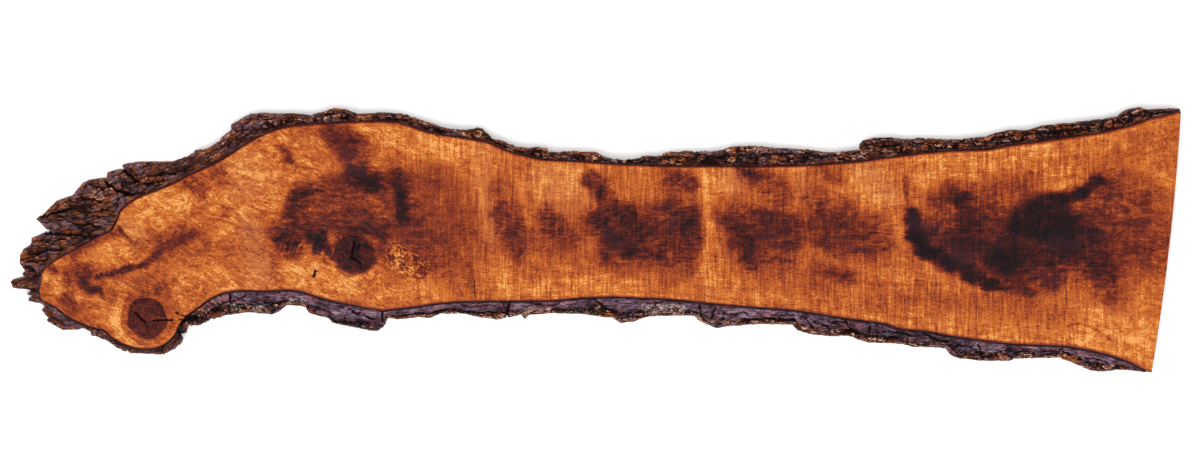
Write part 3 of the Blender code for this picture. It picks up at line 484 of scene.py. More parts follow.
class StageSettings(bpy.types.PropertyGroup):
    """The floor, the light and the camera."""

    floor_colour: bpy.props.FloatVectorProperty(
        name="Floor colour", description="Colour of the floor",
        default=(0.96, 0.96, 0.96), size=3, min=0.0, max=1.0, subtype="COLOR")
    floor_size: bpy.props.FloatProperty(
        name="Floor size", description="Length of the floor's sides",
        default=60.0, min=4.0, unit="LENGTH")
    key_strength: bpy.props.FloatProperty(
        name="Key light", description="Strength of the light from the near side", default=2.95, min=0.0)
    fill_strength: bpy.props.FloatProperty(
        name="Fill light", description="Strength of the lights from the ends; the far one has a third more",
        default=0.92, min=0.0)
    sky_strength: bpy.props.FloatProperty(
        name="Sky", description="Strength of the even light from all round", default=0.33, min=0.0)
    view_width: bpy.props.FloatProperty(
        name="View width", description="Width that the camera takes in at the slab's top face",
        default=2.046, min=0.5, unit="LENGTH")
    view_centre: bpy.props.FloatVectorProperty(
        name="View centre", description="The place on the slab under the camera",
        default=(0.0094, 0.0249), size=2, subtype="XYZ", unit="LENGTH")
    lens: bpy.props.FloatProperty(
        name="Lens", description="Focal length of the camera in millimetres", default=300.0, min=10.0)


def to_metres(points):
    """Plan points in millimetres as an array in metres."""
    return np.array(points, float) * MM


def running_length(points):
    """The distance along a line of points, from its first point to each of them."""
    steps = np.linalg.norm(np.diff(points, axis=0), axis=1)
    return np.concatenate([[0.0], np.cumsum(steps)])


def along(points, shares):
    """Points on a line at these shares of its length."""
    length = running_length(points)
    at = np.asarray(shares) * length[-1]
    return np.stack([np.interp(at, length, points[:, axis]) for axis in (0, 1)], axis=1)


def curve_through(points, steps):
    """A smooth curve through the points (Catmull-Rom), with this many points from one to the next."""
    ends = np.vstack([2 * points[0] - points[1], points, 2 * points[-1] - points[-2]])
    before, start, stop, after = ends[:-3], ends[1:-2], ends[2:-1], ends[3:]
    curve = []
    for t in np.arange(steps) / steps:
        curve.append(0.5 * (2 * start + (stop - before) * t
                            + (2 * before - 5 * start + 4 * stop - after) * t**2
                            + (3 * start - 3 * stop + after - before) * t**3))
    return np.vstack([np.stack(curve, axis=1).reshape(-1, points.shape[1]), points[-1]])


def edge_stations(spacing):
    """The wood's edge and the bark's rim at matching stations, their kind of bark and their stretch.

    Each stretch is divided by the rim's own corners, so that none of them is cut off, and then
    further until no two stations are more than the spacing apart.
    """
    edge_points = to_metres(sum((wood for _, _, wood, _ in LIVE_EDGE), []) + [LIVE_EDGE_END[0]])
    edge_curve = curve_through(edge_points, EDGE_CURVE_STEPS)
    wood_edge, bark_rim, kinds, stretches = [], [], [], []
    tip_station = 0
    first = 0
    for number, (name, kind, wood, rim) in enumerate(LIVE_EDGE):
        last = first + len(wood) * EDGE_CURVE_STEPS
        wood_line = edge_curve[first:last + 1]
        is_last = number == len(LIVE_EDGE) - 1
        rim_line = to_metres(rim + [LIVE_EDGE_END[1] if is_last else LIVE_EDGE[number + 1][3][0]])
        corners = running_length(rim_line) / running_length(rim_line)[-1]
        longest = max(running_length(wood_line)[-1], running_length(rim_line)[-1])
        shares = []
        for start, stop in zip(corners[:-1], corners[1:]):
            pieces = int(np.ceil((stop - start) * longest / spacing))
            shares.extend(np.linspace(start, stop, pieces, endpoint=False))
        if is_last:
            shares.append(1.0)
        if name == TIP_STRETCH:
            tip_station = len(kinds) + len(shares) // 3
        wood_edge.append(along(wood_line, shares))
        bark_rim.append(along(rim_line, shares))
        kinds.extend([KIND_NAMES.index(kind)] * len(shares))
        stretches.extend([number] * len(shares))
        first = last
    return np.vstack(wood_edge), np.vstack(bark_rim), np.array(kinds), np.array(stretches), tip_station


def evened(values, distance, width):
    """Values along the edge, each replaced by a bell-weighted mean of its neighbours."""
    weights = np.exp(-0.5 * ((distance[:, None] - distance[None, :]) / width) ** 2)
    weights *= np.gradient(distance)[None, :]
    return weights @ values / weights.sum(axis=1, keepdims=True)


def smooth_step(low, high, values):
    """0 below low, 1 above high, and an S-shaped rise from one to the other."""
    share = np.clip((values - low) / (high - low), 0, 1)
    return share * share * (3 - 2 * share)


def cell_random(column, row, salt):
    """A repeatable random number from 0 to 1 for each cell of a grid."""
    mixed = (column * 374761393 + row * 668265263 + salt * 974634777 + RELIEF_SEED) & 0xFFFFFFFF
    mixed = ((mixed ^ (mixed >> 13)) * 1274126177) & 0xFFFFFFFF
    return ((mixed ^ (mixed >> 16)) & 0xFFFF) / 65535.0


def soft_noise(across, up, salt):
    """Random numbers from -1 to 1 on the whole numbers of a plane, blended smoothly between them."""
    column, row = np.floor(across).astype(np.int64), np.floor(up).astype(np.int64)
    part_across, part_up = smooth_step(0, 1, across - column), smooth_step(0, 1, up - row)
    lower = cell_random(column, row, salt) * (1 - part_across)
    lower += cell_random(column + 1, row, salt) * part_across
    upper = cell_random(column, row + 1, salt) * (1 - part_across)
    upper += cell_random(column + 1, row + 1, salt) * part_across
    return 2 * (lower * (1 - part_up) + upper * part_up) - 1


def cloud(across, up, salt, octaves=3):
    """Soft noise added up at sizes that halve, each half as strong as the one before."""
    total = np.zeros(np.shape(across))
    for octave in range(octaves):
        total += soft_noise(across * 2**octave + 17.3 * octave, up * 2**octave - 9.1 * octave,
                            salt + octave) / 2**octave
    return total / (2 - 0.5 ** (octaves - 1))


def segment_distance(x, y, start, stop):
    """The distance in plan from each point to the segment from start to stop."""
    run = np.subtract(stop, start)
    share = np.clip(((x - start[0]) * run[0] + (y - start[1]) * run[1]) / max(run @ run, 1e-12), 0, 1)
    return np.hypot(x - start[0] - run[0] * share, y - start[1] - run[1] * share)


def plate_relief(lengthwise, crosswise):
    """Height of plates from 0 to 1, the furrows between them from 0 to 1, and a number per plate.

    Each cell of a staggered grid holds one plate. A point belongs to the plate whose middle is
    nearest, takes that plate's own height, tilted a little along it, and sinks into the furrow where
    the next plate is as near.
    """
    column, row = np.floor(lengthwise).astype(np.int64), np.floor(crosswise).astype(np.int64)
    nearest = np.full(lengthwise.shape, np.inf)
    second = np.full(lengthwise.shape, np.inf)
    height = np.zeros(lengthwise.shape)
    number = np.zeros(lengthwise.shape)
    for step_along in (-1, 0, 1):
        for step_across in (-1, 0, 1):
            cell_column, cell_row = column + step_along, row + step_across
            middle_along = cell_column + 0.5 + PLATE_SPREAD * (cell_random(cell_column, cell_row, 1) - 0.5)
            middle_across = cell_row + 0.5 + PLATE_SPREAD * (cell_random(cell_column, cell_row, 2) - 0.5)
            away = np.hypot(lengthwise - middle_along, crosswise - middle_across)
            own_height = cell_random(cell_column, cell_row, 3)
            own_height = np.clip(own_height - PLATE_TILT * (lengthwise - middle_along), 0, 1)
            closer = away < nearest
            second = np.where(closer, nearest, np.minimum(second, away))
            height = np.where(closer, own_height, height)
            number = np.where(closer, cell_random(cell_column, cell_row, 4), number)
            nearest = np.where(closer, away, nearest)
    furrow = np.clip(1 - (second - nearest) / FURROW_WIDTH, 0, 1)
    return height, furrow, number


def stretch_share(stretches, distance, ends, width):
    """1 from the first of two stretches to the last one and 0 elsewhere, evened along the edge."""
    first, last = (STRETCH_NAMES.index(name) for name in ends)
    inside = (stretches >= first) & (stretches <= last)
    return evened(inside[:, None].astype(float), distance, width)


def kind_weights(kinds, distance):
    """How much of each kind of bark there is along the edge: 1 or 0 at each station, evened."""
    return evened(np.eye(len(KIND_NAMES))[kinds], distance, STYLE_BLEND)


def kind_sizes(weights, key):
    """A size of the kinds of bark along the edge, blended by the weights."""
    return weights @ np.array([BARK_KINDS[name][key] for name in KIND_NAMES])


def wall_at(wood_edge, wood_foot, height):
    """Where the wood's leaning wall stands in plan at these shares of the slab's thickness."""
    return wood_edge[:, None, :] * height[:, :, None] + wood_foot[:, None, :] * (1 - height[:, :, None])


def edge_normals(wood_edge, distance):
    """The outward direction in plan, square to the evened line of the wood's edge."""
    direction = np.gradient(evened(wood_edge, distance, NORMAL_BLEND), axis=0)
    direction /= np.linalg.norm(direction, axis=1, keepdims=True)
    return np.stack([direction[:, 1], -direction[:, 0]], axis=1)


def foot_of_wood(wood_edge, bark_rim, weights, distance):
    """The wood's lower outline: its edge moved out by the flare times the evened reach of the bark."""
    reach_vector = bark_rim - wood_edge
    reach = np.linalg.norm(reach_vector, axis=1)
    flare = kind_sizes(weights, "flare")
    flare *= np.clip(np.minimum(distance, distance[-1] - distance) / FLARE_FADE, 0, 1)
    even_reach = evened(reach_vector, distance, FLARE_BLEND)
    even_length = np.linalg.norm(even_reach, axis=1)
    held_back = np.minimum(1.0, FLARE_LIMIT * reach / np.maximum(even_length, BARK_GAP))
    return wood_edge + even_reach * (flare * held_back)[:, None]


def edge_fibres(rows, wood_edge, weights, tip_station):
    """How many plates each point lies from the left tip along the edge, and down the section.

    The plates along the edge are counted by its length over a plate's length. The way down the
    section, over a plate's width, counts them across.
    """
    plate_sizes = kind_sizes(weights, "plate")
    plates_passed = np.cumsum(np.diff(running_length(wood_edge), prepend=0.0) / plate_sizes[:, 0])
    from_tip = np.abs(plates_passed - plates_passed[tip_station])[:, None] + np.zeros(rows.shape[:2])
    down_the_side = np.linalg.norm(np.diff(rows, axis=1, prepend=rows[:, :1]), axis=2).cumsum(axis=1)
    is_near = (np.arange(len(rows)) > tip_station)[:, None]
    return from_tip, down_the_side / plate_sizes[:, 1:] + NEAR_PLATE_OFFSET * is_near


def end_fibres(rows, wood_edge, tip_station):
    """The same counts at the left end, where the fibres run straight on and rise a little along X."""
    off = rows[:, :, :2] - wood_edge[tip_station]
    run, rise = np.cos(END_FIBRE_TURN), np.sin(END_FIBRE_TURN)
    along_fibre = (off[:, :, 0] * run + off[:, :, 1] * rise) / END_PLATE[0]
    return along_fibre, NEAR_PLATE_OFFSET - (off[:, :, 1] * run - off[:, :, 0] * rise) / END_PLATE[1]


def bark_relief(along_fibre, across_fibre):
    """Plates, the flakes on them and the chips on those, each a third the size of the one before.

    Every layer is heights, furrows and a number per plate. The counts are bent by soft noise first,
    so that no plate has a straight edge.
    """
    bend_along = 0.16 * cloud(along_fibre * 3, across_fibre * 1.7, 21)
    bend_across = 0.16 * cloud(along_fibre * 4, across_fibre * 1.3, 31)
    plates = plate_relief(along_fibre + bend_along, across_fibre + bend_across)
    flakes = plate_relief(along_fibre * 3.3 + 31.4 + 2.2 * bend_along,
                          across_fibre * 2.9 + 12.7 + 2.2 * bend_across)
    chips = plate_relief(along_fibre * 9.1 + 71.9 + 5 * bend_across,
                         across_fibre * 7.3 + 43.1 + 5 * bend_along)
    return np.array([*plates, *flakes, *chips])


def surface_normals(rows):
    """The outward direction at each point of a grid that runs down the section and along the edge."""
    normal = np.cross(np.gradient(rows, axis=1), np.gradient(rows, axis=0))
    return normal / np.maximum(np.linalg.norm(normal, axis=2, keepdims=True), 1e-9)


def cut_depth(x, y, cuts, inner, outer, extra):
    """How deep the cuts go in at each point of the plan, with the deepest one taken where two meet.

    A cut is full up to the inner share of its half width. It ends at the outer share of it, and this
    many millimetres further on.
    """
    depth = np.zeros(np.shape(x))
    for x1, y1, x2, y2, half_width, full_depth in cuts:
        away = segment_distance(x, y, to_metres((x1, y1)), to_metres((x2, y2)))
        cover = smooth_step((half_width * outer + extra) * MM, half_width * inner * MM, away)
        depth = np.maximum(depth, full_depth * MM * cover)
    return depth


def crack_depth(x, y):
    """How deep the bark's cracks go in, on a plane that sways so that no crack is straight."""
    sway_x = CRACK_SWAY * cloud(x / CRACK_SWAY_SIZE, y / CRACK_SWAY_SIZE, 61)
    sway_y = CRACK_SWAY * cloud(x / CRACK_SWAY_SIZE, y / CRACK_SWAY_SIZE, 71)
    return cut_depth(x + sway_x, y + sway_y, BARK_CRACKS, 0.3, 1.5, 0.0)


def lichen_cover(x, on_near_side, span):
    """Where lichen grows: in patches along the near edge, from a point of the section outwards."""
    cover = np.zeros(np.shape(x))
    for low, high, start, amount in LICHEN_PATCHES:
        middle, half = (low + high) / 2 * MM, (high - low) / 2 * MM
        patch = smooth_step(half + 0.008, half - 0.008, np.abs(x - middle))
        cover = np.maximum(cover, amount * patch * smooth_step(start - 0.4, start + 0.4, span))
    return cover * smooth_step(5.4, 4.4, span) * on_near_side


def bark_surface(settings):
    """The bark's outer surface as a grid of points, the wood's wall under it and values to colour it by.

    A point lies on the line from the wood's edge to the rim, at the share and height that its kind
    of section gives. It is then moved along the surface's normal: out by the plates' and flakes'
    heights, by the grit, and in by the furrows and cracks.
    """
    wood_edge, bark_rim, kinds, stretches, tip_station = edge_stations(settings.station_spacing)
    distance = running_length(wood_edge)
    weights = kind_weights(kinds, distance)
    profiles = np.array([curve_through(np.array(BARK_KINDS[name]["profile"]), ROWS_PER_SPAN)
                         for name in KIND_NAMES])
    share, height, relief_share = np.einsum("sk,krp->psr", weights, profiles)
    span = np.arange(share.shape[1])[None, :] / ROWS_PER_SPAN + np.zeros(share.shape)
    sawn = weights[:, KIND_NAMES.index("sawn")][:, None]
    crust = weights[:, KIND_NAMES.index("crust")][:, None]
    stub = weights[:, KIND_NAMES.index("stub")][:, None]
    oblique = 1 - sawn - crust - stub
    near_break = smooth_step(0.6, 2.0, span) * smooth_step(4.6, 3.0, span)
    along_noise = distance[:, None] + np.zeros(share.shape)
    wander = cloud(along_noise / 0.021, span * 0 + 3.3, 41, 4)
    share = share + BREAK_SWAY * wander * near_break * (0.35 + 0.65 * sawn)

    outward = edge_normals(wood_edge, distance)
    wood_foot = foot_of_wood(wood_edge, bark_rim, weights, distance)
    reach_vector = bark_rim - wood_edge
    reach = np.linalg.norm(reach_vector, axis=1)
    inner_top = wall_at(wood_edge, wood_foot, height[:, :1])[:, 0] + outward * BARK_GAP
    plan = inner_top[:, None, :] * (1 - share[:, :, None]) + bark_rim[:, None, :] * share[:, :, None]
    level = np.maximum(height * SLAB_THICKNESS, BARK_UNDERCUT)
    rows = np.concatenate([plan, level[:, :, None]], axis=2)

    end_share = smooth_step(0.35, 0.65, stretch_share(stretches, distance, END_STRETCHES, END_BLEND))
    calm_share = smooth_step(0.2, 0.9, stretch_share(stretches, distance, CALM_STRETCHES, FLARE_BLEND))
    calm_share = LEAST_CALM + (1 - LEAST_CALM) * calm_share
    band_limits = np.array([WIDE_BANDS.get(name, BAND_SPAN) for name in STRETCH_NAMES])[stretches]
    band_limit = evened(band_limits[:, None], distance, END_BLEND)
    along_edge, down_edge = edge_fibres(rows, wood_edge, weights, tip_station)
    along_end, across_end = end_fibres(rows, wood_edge, tip_station)
    layers = bark_relief(along_edge, down_edge) * (1 - end_share)
    layers += bark_relief(along_end, across_end) * end_share
    plate, furrow, plate_number, flake, flake_furrow, flake_number, chip, chip_furrow, chip_number = layers
    grit = cloud(along_noise / 0.0052, down_edge * 5.1, 51, 3)

    reach_share = np.clip(reach / FULL_RELIEF_REACH, 0, 1)[:, None]
    coarse = relief_share * reach_share
    fine = np.clip(relief_share * 1.5, 0, 1) * np.clip(reach / 0.010, 0, 1)[:, None]
    shift = ((plate - 1 + PROUD_SHARE) * PLATE_RISE - furrow * FURROW_DEPTH) * coarse
    shift += (flake - 0.55 - 0.8 * flake_furrow) * settings.flake_rise * fine
    shift += ((chip - 0.5) - 0.8 * chip_furrow) * settings.grit_rise * (0.12 + fine)
    shift += grit * settings.grit_rise * (0.10 + fine)
    fade_in = smooth_step(0.0, 0.9, span)
    crack = crack_depth(rows[:, :, 0], rows[:, :, 1]) * smooth_step(0.0, 0.4, span)
    shift -= crack
    rows += surface_normals(rows) * (shift * fade_in)[:, :, None]

    wall = wall_at(wood_edge, wood_foot, rows[:, :, 2] / SLAB_THICKNESS)
    cover = np.einsum("srp,sp->sr", rows[:, :, :2] - wall, outward)
    reach_direction = reach_vector / reach[:, None]
    facing_out = np.maximum(np.einsum("sp,sp->s", reach_direction, outward), MOST_OBLIQUE)
    least = BARK_GAP + LEAST_COVER * smooth_step(0.0, 1.0, span)
    shortfall = np.maximum(least - cover, 0) / facing_out[:, None]
    shortfall[:, 0] = 0
    rows[:, :, :2] += reach_direction[:, None, :] * shortfall[:, :, None]
    lowest, highest = np.array(BARK_BOX[0]), np.array(BARK_BOX[1])
    lowest[2] = max(lowest[2], BARK_UNDERCUT)
    rows = np.clip(rows, lowest, highest)

    on_near_side = (np.arange(len(rows)) > tip_station)[:, None]
    sawn_top = sawn * smooth_step(0.25, -0.15, span - band_limit - 0.9 * wander)
    inner_foot = np.column_stack([wood_foot + outward * BARK_GAP, np.full(len(rows), BARK_UNDERCUT)])
    from_wood = np.linalg.norm(rows[:, :, :2] - inner_top[:, None, :], axis=2)
    fine_furrow = np.maximum(0.85 * flake_furrow, 0.5 * chip_furrow) * fine
    from_break = np.abs(span - band_limit - 0.45 - 0.5 * wander)
    slope = smooth_step(SLOPE_SPAN + 0.6, SLOPE_SPAN - 0.8, span)
    values = {
        "plate": 0.5 * plate_number + 0.3 * flake_number + 0.2 * chip_number,
        "rise": np.clip(0.5 + shift / 0.009, 0, 1),
        "furrow": np.clip(np.maximum(furrow * coarse, fine_furrow), 0, 1),
        "crack": np.clip(crack / 0.0030, 0, 1),
        "ledge": np.clip(sawn + stub, 0, 1) * smooth_step(0.55, 0.05, from_break),
        "band": sawn_top,
        "slope": np.clip(crust + 0.3 * oblique, 0, 1) * slope,
        "lichen": lichen_cover(rows[:, :, 0], on_near_side, span),
        # The painted shadow in the gap between the bark and the wood, wider on the near side
        "painted_gap_shadow": smooth_step(1.0, 0.34, from_wood / np.where(on_near_side, 0.0032, 0.0016)),
        "fresh": weights[:, KIND_NAMES.index("splinter")][:, None] + np.zeros(share.shape),
        "end_share": end_share + np.zeros(share.shape),
        "calm": calm_share + np.zeros(share.shape),
        "fibre_along": along_noise,
        "fibre_down": down_edge * kind_sizes(weights, "plate")[:, 1:],
    }
    return rows, inner_foot, stretches, values


def finished_object(name, points, faces, values, merge_first=0):
    """One closed mesh object with its values as attributes, smooth but for its sharp edges.

    Of its first points, this many are merged where they lie together.
    """
    mesh = bpy.data.meshes.new(name)
    mesh.from_pydata(points, [], faces)
    for value_name, numbers in values.items():
        attribute = mesh.attributes.new(value_name, "FLOAT", "POINT")
        attribute.data.foreach_set("value", np.ascontiguousarray(numbers, np.float32).ravel())
    built = bmesh.new()
    built.from_mesh(mesh)
    built.verts.ensure_lookup_table()
    if merge_first:
        bmesh.ops.remove_doubles(built, verts=built.verts[:merge_first], dist=1e-6)
    bmesh.ops.recalc_face_normals(built, faces=built.faces)
    built.to_mesh(mesh)
    built.free()
    mesh.shade_smooth()
    mesh.set_sharp_from_angle(angle=SHARP_EDGE)
    made = bpy.data.objects.new(name, mesh)
    bpy.context.scene.collection.objects.link(made)
    return made


def ring_faces(rings, around):
    """Quads between each ring of points and the next, and one face over each end."""
    corner = np.arange(around)
    after = (corner + 1) % around
    first = np.arange(rings - 1)[:, None] * around
    following = first + around
    quads = np.stack([first + corner, following + corner, following + after, first + after], axis=2)
    ends = [list(range(around)), list(range(rings * around - 1, (rings - 1) * around - 1, -1))]
    return quads.reshape(-1, 4).tolist() + ends


def running_sum(density, x):
    """The sum of a density along x, from the first of them to each of them (trapezoids)."""
    return np.concatenate([[0.0], np.cumsum((density[1:] + density[:-1]) / 2 * np.diff(x))])


def column_places():
    """Columns from 0 at the left tip to 1 at the saw cut, closer together in the zones of detail.

    Their density along X is one over the spacing, and they stand at equal steps of its running sum.
    """
    spacing = bpy.context.scene.slab_wood.column_spacing
    rounding = bpy.context.scene.slab_wood.edge_rounding
    low, high = COLUMN_RANGE
    x = np.linspace(low, high, 4000)
    density = np.full(x.shape, 1 / spacing)
    for middle, half_width, close in CLOSE_COLUMNS:
        zone = smooth_step(half_width + ZONE_FADE, half_width, np.abs(x - middle))
        density = np.maximum(density, zone / close)
    density = np.maximum(density, 1 / (TIP_SPACING + np.abs(x - low) * TIP_GROWTH))
    passed = running_sum(density, x)
    places = np.interp(np.linspace(0, passed[-1], int(round(passed[-1])) + 1), passed, x)
    places = places[places < high - 2 * rounding]
    places = np.concatenate([places, high - rounding * np.array([1.0, 0.3, 0.0])])
    return (places - low) / (high - low)


def row_places(chord):
    """Rows from 0 at the near edge to 1 at the far one: closer on the rounded edges and in one zone."""
    low, high, closeness = CLOSE_ROWS
    fine = np.linspace(0, 1, 2000)
    density = 1 + (closeness - 1) * smooth_step(low - 0.03, low, fine) * smooth_step(high + 0.03, high, fine)
    passed = running_sum(density, fine)
    inner = np.interp(np.linspace(0, passed[-1], INNER_ROWS), passed, fine)
    rounding = np.minimum(bpy.context.scene.slab_wood.edge_rounding, 0.2 * chord)[:, None]
    chord = np.maximum(chord, 1e-9)[:, None]
    start = rounding * np.array([[0.0, 0.3]]) / chord
    inside = (rounding + inner[None, :] * (chord - 2 * rounding)) / chord
    stop = 1 - rounding * np.array([[0.3, 0.0]]) / chord
    return np.concatenate([start, inside, stop], axis=1)


def side_points(edge, foot, x):
    """The points of one side's edge and foot at these places along X."""
    in_order = np.maximum.accumulate(edge[:, 0]) + 1e-9 * np.arange(len(edge))
    station = np.interp(x, in_order, np.arange(len(edge)))
    numbers = np.arange(len(edge))
    return [np.stack([np.interp(station, numbers, line[:, axis]) for axis in (0, 1)], axis=1)
            for line in (edge, foot)]


def knot_lobes(x, y, centre, radius, lobes, salt):
    """The distance from a knot's centre as a share of its wavy outline's radius."""
    angle = np.arctan2(y - centre[1], x - centre[0])
    outline = radius * (1 + 0.035 * np.cos(lobes * angle + salt) + 0.04 * np.cos(2 * angle + 2 * salt))
    return np.hypot(x - centre[0], y - centre[1]) / outline


def saw_teeth(x1, y1, x2, y2, count, length):
    """Short dark marks along a line in millimetres, each leaning back to its left, as on a saw."""
    shares = (np.arange(count) + 0.5) / count
    run = np.array([x2 - x1, y2 - y1]) / np.hypot(x2 - x1, y2 - y1)
    feet = np.array([x1, y1]) + shares[:, None] * (x2 - x1, y2 - y1)
    tips = feet + length * (np.array([-run[1], run[0]]) - 0.35 * run)
    return [(*foot, *tip, 0.9, 2.2, 0.55) for foot, tip in zip(feet, tips)]


def marks_cover(x, y, marks):
    """Each mark's cover, full within its half width and fading over its softness, with its strength."""
    for x1, y1, x2, y2, half_width, softness, strength in marks:
        away = segment_distance(x, y, to_metres((x1, y1)), to_metres((x2, y2)))
        yield strength * smooth_step((half_width + softness) * MM, (half_width - 0.5 * softness) * MM, away)


def strongest_cover(x, y, marks):
    """The strongest of the marks' covers at each point."""
    return np.max(list(marks_cover(x, y, marks)), axis=0)


def figure_values(x, y, share):
    """The wood's figure at each point: how light, dark and pale it is, how it curls, and its grain.

    The light starts as soft clouds drawn out along the slab, and golden marks take it towards 1. The
    dark is one less the product of what every dark mark leaves. Nearly all marks stand on a plane
    that is bent a little, so that no edge is straight. Each knot is a dark disc with rings, and the
    branch's knot also has a golden crescent at one side. The grain's own height is the share of the
    chord, pushed round each knot as a stream is round a post: it moves by the knot's radius squared
    over the distance squared.
    """
    settings = bpy.context.scene.slab_wood
    bent_x = x + 0.011 * cloud(x / 0.055, y / 0.040, 3) + 0.004 * cloud(x / 0.014, y / 0.011, 4)
    bent_y = y + 0.011 * cloud(x / 0.060, y / 0.040, 5) + 0.004 * cloud(x / 0.015, y / 0.010, 6)
    light = 0.80 + 0.10 * cloud(bent_x / 0.22, bent_y / 0.09, 7)
    light += 0.10 * cloud(bent_x / 0.062, bent_y / 0.034, 8)
    for cover in marks_cover(bent_x, bent_y, GOLDEN_MARKS):
        light += (0.95 - light) * np.clip(cover * settings.golden_figure, 0, 1)
    kept = np.ones(x.shape)
    for cover in marks_cover(bent_x, bent_y, DARK_MARKS + saw_teeth(*SERRATED_LINE)):
        kept *= 1 - np.clip(cover * settings.dark_figure, 0, 0.95)
    for cover in marks_cover(x, y, STRAIGHT_GOLDEN_MARKS):
        light += (0.98 - light) * cover
        kept += (1 - kept) * cover

    stub = knot_lobes(x, y, *STUB_KNOT)
    light += (0.72 - light) * 0.8 * smooth_step(1.36, 1.26, stub)
    stub_disc = smooth_step(1.05, 0.95, stub)
    kept *= 1 - 0.56 * stub_disc + 0.10 * smooth_step(0.50, 0.10, stub)
    off_x, off_y = x - STUB_KNOT[0][0], y - STUB_KNOT[0][1]
    facing = (off_x * CRESCENT_WAY[0] + off_y * CRESCENT_WAY[1]) / np.maximum(np.hypot(off_x, off_y), 1e-6)
    crescent = smooth_step(-0.1, 0.6, facing) * smooth_step(1.30, 1.40, stub) * smooth_step(1.95, 1.65, stub)
    light += (1.03 - light) * 0.9 * crescent
    kept += (1 - kept) * 0.9 * crescent
    kept *= 1 - 0.14 * np.exp(-((stub - 1.34) / 0.03) ** 2) - 0.10 * np.exp(-((stub - 1.0) / 0.05) ** 2)
    upper = knot_lobes(x, y, *UPPER_KNOT)
    kept += (0.24 - kept) * 0.92 * smooth_step(1.26, 0.86, upper)
    far_half = smooth_step(-0.2, 0.6, (y - UPPER_KNOT[0][1]) / UPPER_KNOT[1])
    kept *= 1 - 0.35 * np.exp(-((upper - 0.95) / 0.10) ** 2) * far_half
    kept *= 1 - 0.2 * smooth_step(0.5, 0.1, upper)
    knot = np.maximum(smooth_step(1.4, 1.0, stub), 0.45 * smooth_step(1.4, 1.0, upper))

    grain = share * 0.30
    for centre, radius, _, _ in (STUB_KNOT, UPPER_KNOT):
        from_centre = np.maximum((x - centre[0]) ** 2 + (y - centre[1]) ** 2, radius**2)
        grain = grain - 0.85 * (y - centre[1]) * radius**2 / from_centre
    curl = smooth_step(-0.20, -0.42, x) + smooth_step(0.86, 0.96, x) * 0.5
    saw = smooth_step(-0.50, -0.16, x) * (1 - 0.5 * smooth_step(0.80, 0.95, x)) * (1 - knot)
    return {"light": light, "dark": 1 - kept, "curl": curl, "grain": grain, "knot": knot,
            "saw": saw * (0.45 + 0.55 * kept), "pale": strongest_cover(bent_x, bent_y, PALE_MARKS),
            "fringe": strongest_cover(bent_x, bent_y, FRINGE_MARKS),
            "quilt": strongest_cover(x, y, QUILT_MARKS)}


